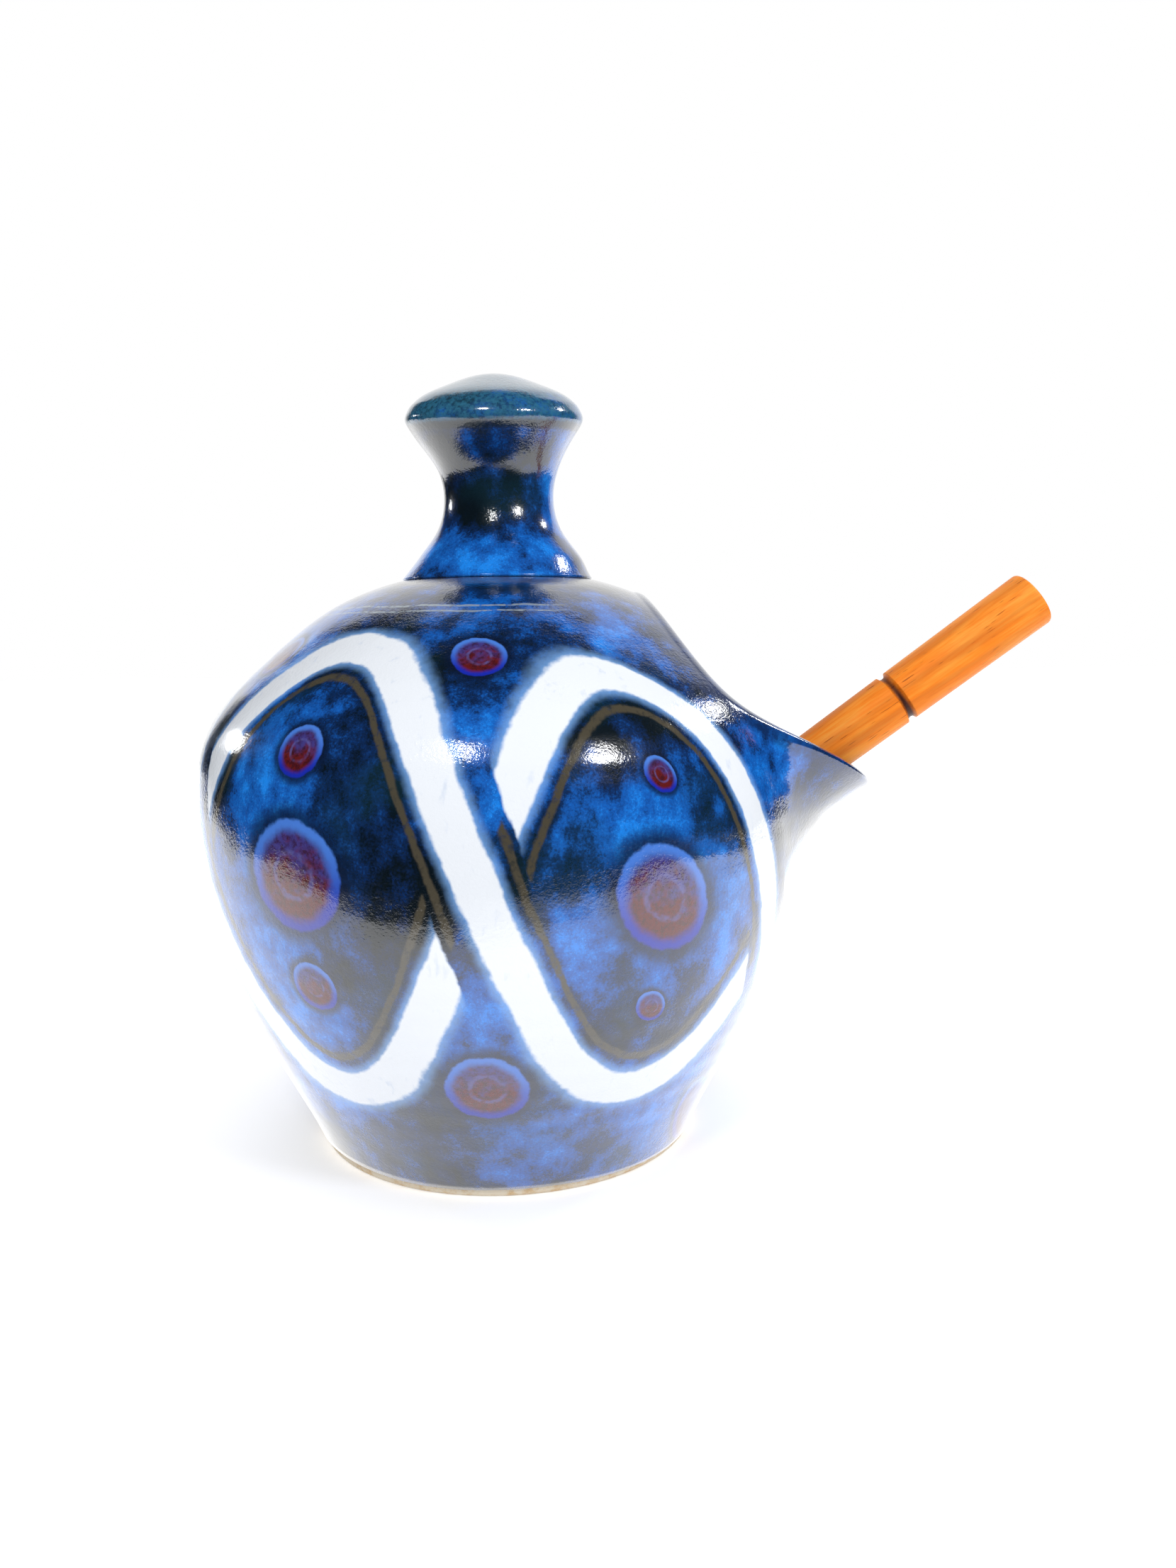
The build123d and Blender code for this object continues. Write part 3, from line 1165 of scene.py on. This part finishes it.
    def set_back(self, turn: np.ndarray, edge: np.ndarray, inner: bool) -> np.ndarray:
        """The reach at which the wall is one rounding away from the rim's edge.

        It is the edge's reach, plus the rounding over the pace of the point on the wall: how far it
        moves for each radian of reach.

        Args:
            turn: Angles round the mouth.
            edge: Reach of the edge at each.
            inner: Whether it is the inner wall.

        Returns:
            The reach at each turn.
        """
        tilt = math.radians(self.mouth_tilt)
        step = math.radians(0.4)
        points = self.on_wall(self.directions(tilt, edge, turn), inner)
        beyond = self.on_wall(self.directions(tilt, edge + step, turn), inner)
        pace = np.linalg.norm(beyond - points, axis=-1) / step
        return edge + self.rim_rounding / pace

    def unevenness(self, points: np.ndarray) -> np.ndarray:
        """How far the thrown wall stands off its outline, in millimetres.

        It is a slow wander round and up the wall and fine throwing rings that climb as a spiral, all of it
        inwards.

        Args:
            points: Points on the wall.

        Returns:
            Offsets outwards.
        """
        turn, height = np.arctan2(points[..., 1], points[..., 0]), points[..., 2]
        wander = 0.16 * np.sin(2 * turn + height / 17 + 0.6) + 0.1 * np.sin(3 * turn - height / 11 + 2.0)
        rings = 0.014 * np.sin(2 * math.pi * height / 4.2 + turn) * (1 + 0.6 * np.sin(turn + height / 9))
        fade = np.clip((height - 4) / 12, 0, 1) * np.clip((self.seat[1] - 2 - height) / 8, 0, 1)
        return (wander + rings - 0.28) * fade

    def skin(self) -> Skin:
        """The whole pot, from under the foot, over the rim and down to the floor.

        On each wall the circles' middle, their radius and the point inside go from row to row between
        those of the foot or floor and those of the rim.

        Returns:
            One closed skin.
        """
        turn = ring(self.columns)
        tilt = math.radians(self.mouth_tilt)
        edge = self.glaze_edge + 0.3 * np.sin(2 * turn + 0.7) + 0.22 * np.sin(5 * turn + 1.9)
        edge_radius = np.interp(edge, self.wall_line[:, 1], self.wall_line[:, 0])
        foot_reach = math.pi - np.arctan2(edge_radius, self.inside_height - edge)

        outer_edge, inner_edge = self.rim_reach(turn, False), self.rim_reach(turn, True)
        outer_back, inner_back = self.set_back(turn, outer_edge, False), self.set_back(turn, inner_edge, True)

        share = 1 - (1 - np.linspace(0, 1, self.outer_rows)) ** 1.15
        share = share[:, None]
        ways = self.directions(share * tilt, (1 - share) * foot_reach + share * outer_back, turn)
        outer = self.on_wall(ways, False, share)
        offset = self.unevenness(outer) * np.clip((1 - share) * 12, 0, 1)
        outer = outer + ways * offset[..., None]

        rim = self.across_rim(turn, outer[-1], outer_edge, inner_edge, inner_back)

        share = (np.arange(1, self.inner_rows) / self.inner_rows)[:, None]
        ways = self.directions((1 - share) * tilt, (1 - share) * inner_back + share * math.pi, turn)
        inner = self.on_wall(ways, True, 1 - share)
        throwing = 0.25 * np.sin(inner[..., 2] * 2 * math.pi / 7.5 + turn)
        inner = inner + ways * (throwing * np.clip(4 * share, 0, 1))[..., None]

        foot = self.under_foot(turn, edge, edge_radius)
        rows = np.concatenate([foot, outer, rim, inner])
        finish = np.zeros(len(rows) + 1, int)
        finish[: len(foot)] = 1
        finish[-len(inner) :] = 2
        near_rim = np.clip(1.3 - np.linalg.norm(outer - outer[-1], axis=-1) / self.stain_fade, 0, 1)
        dark = [np.zeros(foot.shape[:2]), near_rim, np.full(rim.shape[:2], 0.8), np.zeros(inner.shape[:2])]
        ends = np.array([0.0, 0.0, 0.0]), np.array([0.0, 0.0, self.floor])
        return Skin(rows, *ends, finish, np.concatenate(dark))

    def across_rim(
        self,
        turn: np.ndarray,
        start: np.ndarray,
        outer_edge: np.ndarray,
        inner_edge: np.ndarray,
        inner_back: np.ndarray,
    ) -> np.ndarray:
        """Rows across the rim: a quarter round from the outer wall, a narrow flat and another quarter round.

        A quarter round is the quadratic through its two ends that leaves each towards the sharp edge.

        Args:
            turn: Angle of each column round the mouth.
            start: The last row on the outer wall.
            outer_edge: Reach of the sharp outer edge.
            inner_edge: Reach of the sharp inner edge.
            inner_back: Reach at which the inner wall begins.

        Returns:
            Grid of points.
        """
        tilt = math.radians(self.mouth_tilt)
        outer_corner = self.on_wall(self.directions(tilt, outer_edge, turn), False)
        inner_corner = self.on_wall(self.directions(tilt, inner_edge, turn), True)
        end = self.on_wall(self.directions(tilt, inner_back, turn), True)
        width = np.linalg.norm(inner_corner - outer_corner, axis=-1, keepdims=True)
        inset = np.minimum(self.rim_rounding, 0.45 * width)
        flat = unit(inner_corner - outer_corner) * inset
        share = (np.arange(1, self.rim_rows + 1) / self.rim_rows)[:, None, None]

        def quarter(first: np.ndarray, corner: np.ndarray, last: np.ndarray) -> np.ndarray:
            """Quadratic from first to last that bends at corner."""
            return (1 - share) ** 2 * first + 2 * share * (1 - share) * corner + share**2 * last

        near = quarter(start, outer_corner, outer_corner + flat)
        far = quarter(inner_corner - flat, inner_corner, end)
        return np.concatenate([near, [inner_corner - flat], far])

    def under_foot(self, turn: np.ndarray, edge: np.ndarray, edge_radius: np.ndarray) -> np.ndarray:
        """Rows of bare clay from under the foot up to the thick rolled edge of the glaze.

        Args:
            turn: Angle of each column.
            edge: Height of the glaze's edge.
            edge_radius: Radius of the wall there.

        Returns:
            Grid of points.
        """
        base, start = self.foot
        flat = [(radius, 0.0) for radius in (8.0, 16.0, 24.0, 32.0, base - 1.3)]
        rise = [(base - 0.75, 0.16), (base - 0.45, 0.5), (base - 0.3, start)]
        rows = [np.stack([np.full(turn.shape, r), np.full(turn.shape, z)], axis=-1) for r, z in flat + rise]
        for share, inset in ((0.5, 0.4), (0.8, 0.42), (0.93, 0.34), (0.99, 0.14)):
            radius = base + (edge_radius - base) * share - inset
            rows.append(np.stack([radius, start + (edge - start) * share], axis=-1))
        rows = np.array(rows)
        return np.stack([rows[..., 0] * np.cos(turn), rows[..., 0] * np.sin(turn), rows[..., 1]], axis=-1)

    def built(self) -> bpy.types.Object:
        """The pot with its finishes, in place of its solid.

        Returns:
            The piece.
        """
        finishes = [
            PaintedGlaze().made("painted_glaze"),
            BareClay().made("bare_clay"),
            CobaltGlaze().made("inner_glaze"),
        ]
        piece = self.skin().to_object("thrown_pot", finishes)
        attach(piece, Body.POT.value)
        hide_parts("pot_body")
        return piece


@dataclass
class Knob:
    """The knob, thrown solid: a flared foot, a waist and a thick-edged cap with a low cone on top.

    Its waist stands a little off the middle, towards the mouth, by a share that rises from nothing at the
    foot and falls to nothing at the cap as a smooth step. The cap sags towards the front, by a share that
    rises from nothing at the waist.

    Attributes:
        columns: Points round each row.
        foot_radius: Radius of the foot.
        foot_height: Height of its underside.
        neck: Radii and heights that the neck passes.
        edge_radius: Radius of the cap.
        edge_height: Height at which it is widest.
        roll: Radii and heights of the cap's edge, from that point.
        slope: Direction in which the edge turns into the cone.
        cone: Radii and heights that the cone on top passes.
        top: Height of its middle.
        neck_lean: How far the waist stands off the middle.
    """

    columns: int = 192
    foot_radius: float = 19.5
    foot_height: float = 112.8
    neck: tuple[Point, ...] = (
        (16.2, 117.6),
        (12.6, 122.6),
        (11.0, 128.6),
        (11.9, 134.4),
        (13.65, 137.8),
        (15.5, 140.6),
    )
    edge_radius: float = 17.7
    edge_height: float = 144.4
    roll: tuple[Point, ...] = ((-1.3, -2.45), (-0.45, -1.1), (0.0, 0.1), (-0.45, 1.6), (-1.35, 2.95))
    slope: Point = (-0.72, 0.7)
    cone: tuple[Point, ...] = ((14.7, 148.75), (12.0, 150.15), (8.6, 151.5), (4.8, 152.8), (2.4, 153.3))
    top: float = 153.5
    neck_lean: float = 0.6

    def profile(self) -> np.ndarray:
        """The knob's outline, as smooth lines through its points.

        Returns:
            Radius and height from the foot's underside to beside the top.
        """
        foot = [(-1.0, 0.0), (-0.5, 0.12), (-0.42, 0.45)]
        foot = [(self.foot_radius + out, self.foot_height + rise) for out, rise in foot]
        roll = [(self.edge_radius + out, self.edge_height + up) for out, up in self.roll]
        side = smooth_line([foot[-1], *self.neck, *roll], (-0.75, 1.0), self.slope, 200)
        cone = smooth_line([tuple(side[-1]), *self.cone, (0.0, self.top)], self.slope, (-1.0, 0.0), 60)
        flat = np.array([(6.0, self.foot_height), (12.0, self.foot_height), *foot[:-1]])
        return np.concatenate([flat, side, cone[1:-1]])

    def built(self) -> bpy.types.Object:
        """The knob with its finish, in place of its solid.

        Returns:
            The piece.
        """
        rows = revolved(self.profile(), self.columns)
        height = rows[..., 2]
        low, high = SAG_HEIGHTS
        neck = np.clip((height - self.foot_height) / 5, 0, 1)
        neck = neck * np.clip((self.edge_height - 3 - height) / 8, 0, 1)
        cap = np.clip((height - low) / (high - low), 0, 1)
        rows[..., 0] += self.neck_lean * smooth_step(neck)
        rows[..., 2] += SAG * rows[..., 1] * smooth_step(cap)
        skin = Skin(rows, np.array([0.0, 0.0, self.foot_height]), np.array([0.0, 0.0, self.top]))
        piece = skin.to_object("luted_knob", [KnobGlaze().made("knob_glaze")])
        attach(piece, Body.POT.value)
        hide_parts("knob")
        return piece


@dataclass
class Spoon:
    """The turned spoon: a handle with one cut groove, a thin neck and a hollowed bowl.

    Each row is a closed section across the spoon. On the handle it is a circle. On the bowl its lower
    half is the outer spindle and its upper half the hollow, and both meet at a rounded rim. Places along
    the spoon count from the handle's end.

    Attributes:
        lean: Angle of the spoon below the horizontal, in degrees.
        end: Where the handle's end is, as (x, z).
        end_rounding: Radius of the rounding there.
        columns: Points round each section.
        handle: Places along the handle and its radius at each.
        groove_at: Place of the groove.
        groove_width: Its width.
        groove_depth: Its depth.
        bowl_start: Place at which the bowl starts.
        bowl_end: Place at which it ends.
        half_width: Half the width of its rim.
        rim_rise: Height of its rim over the spoon's axis.
        centre_rise: Height of the spindle's axis over the spoon's.
        bowl_wall: Thickness of the bowl below.
        end_wall: Thickness of the bowl at its ends.
    """

    lean: float = OiledWood.lean
    end: Point = (108.8, 108.2)
    end_rounding: float = 0.8
    columns: int = 96
    handle: tuple[Point, ...] = (
        (0.0, 5.9),
        (33.0, 5.6),
        (60.0, 5.35),
        (95.0, 4.6),
        (122.0, 3.9),
        (160.0, 3.9),
    )
    groove_at: float = 34.0
    groove_width: float = 1.9
    groove_depth: float = 0.8
    bowl_start: float = 129.4
    bowl_end: float = 173.4
    half_width: float = 12.6
    rim_rise: float = 0.6
    centre_rise: float = 7.0
    bowl_wall: float = 2.2
    end_wall: float = 3.3

    def handle_radius(self, at: np.ndarray) -> np.ndarray:
        """Radius of the handle: two slight tapers, a rounded end and the groove.

        The end is a quarter circle, and the groove half an ellipse.

        Args:
            at: Places along it.

        Returns:
            The radius at each.
        """
        line = smooth_line(self.handle, count=800)
        radius = np.interp(at, line[:, 0], line[:, 1])
        end = np.clip(self.end_rounding - at, 0, self.end_rounding)
        radius = radius - self.end_rounding + np.sqrt(np.maximum(self.end_rounding**2 - end**2, 0))
        groove = np.clip(1 - ((at - self.groove_at) / (0.5 * self.groove_width)) ** 2, 0, 1)
        return radius - self.groove_depth * np.sqrt(groove)

    def sections(self) -> np.ndarray:
        """Sections across the spoon, one for each place along it.

        The outer spindle's radius about the raised axis is an arc over the bowl's length. Where the
        spindle reaches further than the handle's circle, the section follows the spindle, and above
        the rim it follows the hollow. The two are mixed by smooth steps.

        Returns:
            Grid of places along, across and up, in the spoon's own frame.
        """
        end = [0.0, 0.1, 0.25, 0.5, 0.8]
        groove = np.linspace(self.groove_at - 1.6, self.groove_at + 1.6, 27)
        bowl = np.linspace(120.5, self.bowl_end - 0.02, 120)
        at = np.unique(np.concatenate([end, np.arange(2.0, 120.0, 1.5), groove, bowl]))[:, None]
        turn = ring(self.columns)[None, :]
        middle = 0.5 * (self.bowl_start + self.bowl_end)
        half = 0.5 * (self.bowl_end - self.bowl_start)
        tip = self.centre_rise - self.rim_rise
        full = math.hypot(self.half_width, tip)

        def spindle(half_length: float, least: float, most: float) -> np.ndarray:
            """Radius of an arc-sided spindle.

            Args:
                half_length: Half its length.
                least: Radius at its ends.
                most: Radius at its middle.

            Returns:
                The radius at each place, and nothing beyond its ends.
            """
            sag = most - least
            bow = (half_length**2 + sag**2) / (2 * sag)
            inside = np.maximum(bow**2 - (at - middle) ** 2, 0)
            return np.where(np.abs(at - middle) < half_length, most - bow + np.sqrt(inside), 0)

        outer = spindle(half, tip, full)
        inner = spindle(half - self.end_wall, tip, full - self.bowl_wall)
        handle = self.handle_radius(at)
        half_width = np.sqrt(np.maximum(outer**2 - tip**2, 0))
        inner_width = np.sqrt(np.maximum(inner**2 - tip**2, 0))
        keep = 1 - np.clip((at - (middle - 4)) / 8, 0, 1)
        neck = handle * keep
        width = np.maximum(half_width, neck)
        across = width * np.cos(turn)
        spindle_low = self.centre_rise - np.sqrt(np.maximum(outer**2 - across**2, 0))
        handle_low = -np.sqrt(np.maximum(neck**2 - across**2, 0))
        low = np.where(outer > 0, np.minimum(np.minimum(spindle_low, self.rim_rise), handle_low), handle_low)
        top = np.where(outer > 0, self.rim_rise, -99.0)
        handle_top = np.sqrt(np.maximum(neck**2 - across**2, 0))
        hollow = self.centre_rise - np.sqrt(np.maximum(inner**2 - across**2, 0))
        open_here = (inner_width > 0) & (np.abs(across) < inner_width)
        high = np.maximum(top, handle_top)
        high = np.where(open_here, np.minimum(hollow, self.rim_rise), high)
        up = np.where(np.sin(turn) >= 0, high, low)
        return np.stack([np.broadcast_to(at, up.shape), across, up], axis=-1)

    def groove_shade(self, rows: np.ndarray) -> np.ndarray:
        """How much shade is painted in the groove: fully at its bottom, and more on the spoon's lower side.

        Args:
            rows: Points in the spoon's own frame.

        Returns:
            The painted shade at each, from 0 to 1.
        """
        from_middle = np.abs(rows[..., 0] - self.groove_at) / (0.5 * self.groove_width)
        _, radius = self.handle[1]
        lower = 0.5 - 0.5 * rows[..., 2] / radius
        return np.clip(1.25 - from_middle**2 - 0.45 * (1 - lower), 0, 1)

    def placed(self, local: np.ndarray) -> np.ndarray:
        """The spoon leaned as it rests in the mouth.

        Args:
            local: Points in the spoon's own frame: along, across and up.

        Returns:
            The same points in the shared frame.
        """
        lean = math.radians(self.lean)
        down = np.array([-math.cos(lean), 0.0, -math.sin(lean)])
        up = np.array([-math.sin(lean), 0.0, math.cos(lean)])
        side = np.array([0.0, 1.0, 0.0])
        end = np.array([self.end[0], 0.0, self.end[1]])
        return end + local[..., :1] * down + local[..., 1:2] * side + local[..., 2:] * up

    def built(self) -> bpy.types.Object:
        """The spoon with its finish, in place of its solid.

        Returns:
            The piece.
        """
        rows = self.sections()
        first, last = rows[0].mean(axis=0), rows[-1].mean(axis=0)
        # The shade painted in the groove is stored on the mesh as its darkening.
        skin = Skin(self.placed(rows), self.placed(first), self.placed(last), dark=self.groove_shade(rows))
        piece = skin.to_object("turned_spoon", [OiledWood().made("oiled_wood")])
        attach(piece, Body.SPOON.value)
        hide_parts("spoon")
        return piece


# The studio


@dataclass(frozen=True)
class Lamp:
    """A round lamp that faces the pot.

    Attributes:
        name: Its name.
        azimuth: Its direction in degrees, 0 behind the camera and 90 on the right.
        elevation: Its height in degrees.
        size: Its diameter, in metres.
        glare: Its radiance.
    """

    name: str
    azimuth: float
    elevation: float
    size: float
    glare: float


@dataclass
class Studio:
    """A pale floor, soft light and the camera at the photograph's place. Lengths are in metres.

    Rays that the glaze mirrors see the floor only as far as three lines in front, on the right and on the
    left, and dark beyond them, apart from a pale strip beyond the front line.

    Attributes:
        camera_place: Where the camera is.
        pitch: Angle that it looks down by, in degrees.
        roll: Angle that the picture is turned by, in degrees.
        focal_pixels: Focal length in pixels of the photograph.
        picture_height: Height of the photograph in pixels.
        sensor: Width of the camera's sensor, in millimetres.
        floor_half: Half the floor's width.
        floor_tone: Colour of the floor.
        floor_dullness: Roughness of the floor.
        front_line: Where the mirrored floor ends in front of the pot.
        side_line: Where it ends on the right and, less far out, on the left.
        strip: Y and X between which the pale strip lies beyond the front line.
        strip_glow: How much of the dark it takes away.
        floor_glow: How much the floor glows for the camera.
        floor_mirrored: How much more it glows for mirrored rays.
        backdrop_mirrored: Strength of the backdrop for mirrored rays.
        sky_level: Strength of the sky that lights the pot.
        lamps: The lamps.
        lamp_distance: How far they stand from their centre.
        lamp_centre: Height of the point that they stand about.
        lamp_aim: Height of the point that they face.
    """

    camera_place: tuple[float, float, float] = (0.0178, -0.2424, 0.1015)
    pitch: float = 7.14
    roll: float = 0.71
    focal_pixels: float = 1662.0
    picture_height: int = 2212
    sensor: float = 36.0
    floor_half: float = 3.0
    floor_tone: Rgb = (0.9, 0.9, 0.9)
    floor_dullness: float = 0.9
    front_line: float = -0.138
    side_line: float = 0.375
    strip: tuple[Point, Point] = ((-0.196, -0.186), (-0.06, 0.26))
    strip_glow: float = 0.42
    floor_glow: float = 0.36
    floor_mirrored: float = 0.55
    backdrop_mirrored: float = 1.0
    sky_level: float = 0.8
    lamps: tuple[Lamp, ...] = (
        Lamp("front_lamp", -11.0, 44.0, 0.13, 22.0),
        Lamp("right_lamp", 46.0, 34.0, 0.17, 20.0),
        Lamp("side_lamp", 110.0, 37.0, 0.11, 22.0),
        Lamp("left_lamp", -116.0, 16.0, 0.08, 20.0),
    )
    lamp_distance: float = 0.8
    lamp_centre: float = 0.09
    lamp_aim: float = 0.07

    def camera(self) -> None:
        """The camera, which looks along +Y, down by the pitch, and is turned about its line of sight."""
        data = bpy.data.cameras.new("camera")
        data.sensor_width = self.sensor
        data.lens = self.focal_pixels * self.sensor / self.picture_height
        data.clip_start = 0.01
        camera = bpy.data.objects.new("camera", data)
        level = Matrix.Rotation(math.radians(90 - self.pitch), 4, "X")
        rolled = level @ Matrix.Rotation(math.radians(-self.roll), 4, "Z")
        camera.matrix_world = Matrix.Translation(self.camera_place) @ rolled
        bpy.context.scene.collection.objects.link(camera)
        bpy.context.scene.camera = camera

    def floor(self) -> None:
        """A wide pale floor that the pot stands on, with its dark parts for mirrored rays."""
        mesh = bpy.data.meshes.new("floor")
        half = self.floor_half
        corners = [(-half, -half, 0), (half, -half, 0), (half, half, 0), (-half, half, 0)]
        mesh.from_pydata(corners, [], [(0, 1, 2, 3)])
        recipe = Recipe("pale_floor")
        recipe.gloss(self.floor_dullness)
        recipe.shader.inputs["Specular IOR Level"].default_value = 0.0
        recipe.shader.inputs["Emission Color"].default_value = (1.0, 1.0, 1.0, 1.0)
        seen = self.seen_rays(recipe.tree)
        glossy = Formula(recipe.tree, recipe.tree.nodes.new("ShaderNodeLightPath").outputs["Is Glossy Ray"])
        x, y, _ = recipe.axes()
        (near, far), (left, right) = self.strip
        strip = y.between(near, far) * x.between(left, left + 0.08) * x.between(right - 0.08, right, 1.0, 0.0)
        in_front = (y + x * 0.12).between(self.front_line - 0.008, self.front_line + 0.004, 1.0, 0.0)
        on_right = (x - y * 0.6).between(self.side_line, self.side_line + 0.02)
        on_left = (x + y * 0.96).between(-self.side_line, 0.03 - self.side_line, 1.0, 0.0)
        dim = (in_front * (1.0 - strip * self.strip_glow)).larger(on_right).larger(on_left) * glossy
        glow = seen * self.floor_glow + glossy * self.floor_mirrored
        recipe.tree.links.new((glow * (1.0 - dim)).source, recipe.shader.inputs["Emission Strength"])
        recipe.colour(recipe.mixed(dim, self.floor_tone, (0.0, 0.0, 0.0)))
        mesh.materials.append(recipe.material)
        floor = bpy.data.objects.new("floor", mesh)
        bpy.context.scene.collection.objects.link(floor)

    def lit(self, lamp: Lamp) -> None:
        """Puts a lamp in its place.

        Its power is pi times its radiance times its area.

        Args:
            lamp: The lamp.
        """
        data = bpy.data.lights.new(lamp.name, "AREA")
        data.shape = "DISK"
        data.size = lamp.size
        data.energy = lamp.glare * math.pi * math.pi * lamp.size**2 / 4
        piece = bpy.data.objects.new(lamp.name, data)
        turn, climb = math.radians(lamp.azimuth), math.radians(lamp.elevation)
        level = math.cos(climb)
        piece.location = Vector((math.sin(turn) * level, -math.cos(turn) * level, math.sin(climb)))
        piece.location = piece.location * self.lamp_distance + Vector((0.0, 0.0, self.lamp_centre))
        sight = Vector((0.0, 0.0, self.lamp_aim)) - piece.location
        piece.rotation_euler = sight.to_track_quat("-Z", "Y").to_euler()
        bpy.context.scene.collection.objects.link(piece)

    def seen_rays(self, tree: bpy.types.NodeTree) -> Formula:
        """What tells rays that are seen, straight, mirrored or through glass, from those that light.

        Args:
            tree: The node tree that it is for.

        Returns:
            One for rays that are seen, and otherwise nothing.
        """
        path = tree.nodes.new("ShaderNodeLightPath")
        kinds = ("Is Camera Ray", "Is Glossy Ray", "Is Transmission Ray")
        straight, mirrored, through = (Formula(tree, path.outputs[kind]) for kind in kinds)
        return straight.larger(mirrored).larger(through)

    def world(self) -> None:
        """A white backdrop behind the pot, and a soft sky that lights it.

        Mirrored rays see white towards +Y and below, and dark on the camera's side.
        """
        world = bpy.data.worlds.new("soft_sky")
        bpy.context.scene.world = world
        world.use_nodes = True
        tree = world.node_tree
        background = tree.nodes["Background"]
        split = tree.nodes.new("ShaderNodeSeparateXYZ")
        tree.links.new(tree.nodes.new("ShaderNodeTexCoord").outputs["Generated"], split.inputs[0])
        x, y, z = (Formula(tree, socket) for socket in split.outputs)
        backdrop = (y - (x.size() * 1.2 - x * 0.2).larger(z * 0.43)).between(-0.06, 0.1)
        path = tree.nodes.new("ShaderNodeLightPath")
        glossy = Formula(tree, path.outputs["Is Glossy Ray"])
        mirrored = backdrop * self.backdrop_mirrored
        seen = self.seen_rays(tree)
        strength = (seen + (1.0 - seen) * self.sky_level) * (1.0 - glossy) + glossy * mirrored
        tree.links.new(strength.source, background.inputs["Strength"])
        background.inputs["Color"].default_value = (1.0, 1.0, 1.0, 1.0)

    def built(self) -> None:
        """Everything round the pot."""
        self.camera()
        self.floor()
        for lamp in self.lamps:
            self.lit(lamp)
        self.world()
        bpy.context.scene.view_settings.view_transform = "Standard"


def main() -> None:
    """Builds every piece."""
    logging.basicConfig(level=logging.INFO, format="%(name)s: %(message)s")
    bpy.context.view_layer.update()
    for part in (Pot(), Knob(), Spoon()):
        piece = part.built()
        log.info("%s: %d faces", piece.name, len(piece.data.polygons))
    Studio().built()


if __name__ == "__main__":
    main()
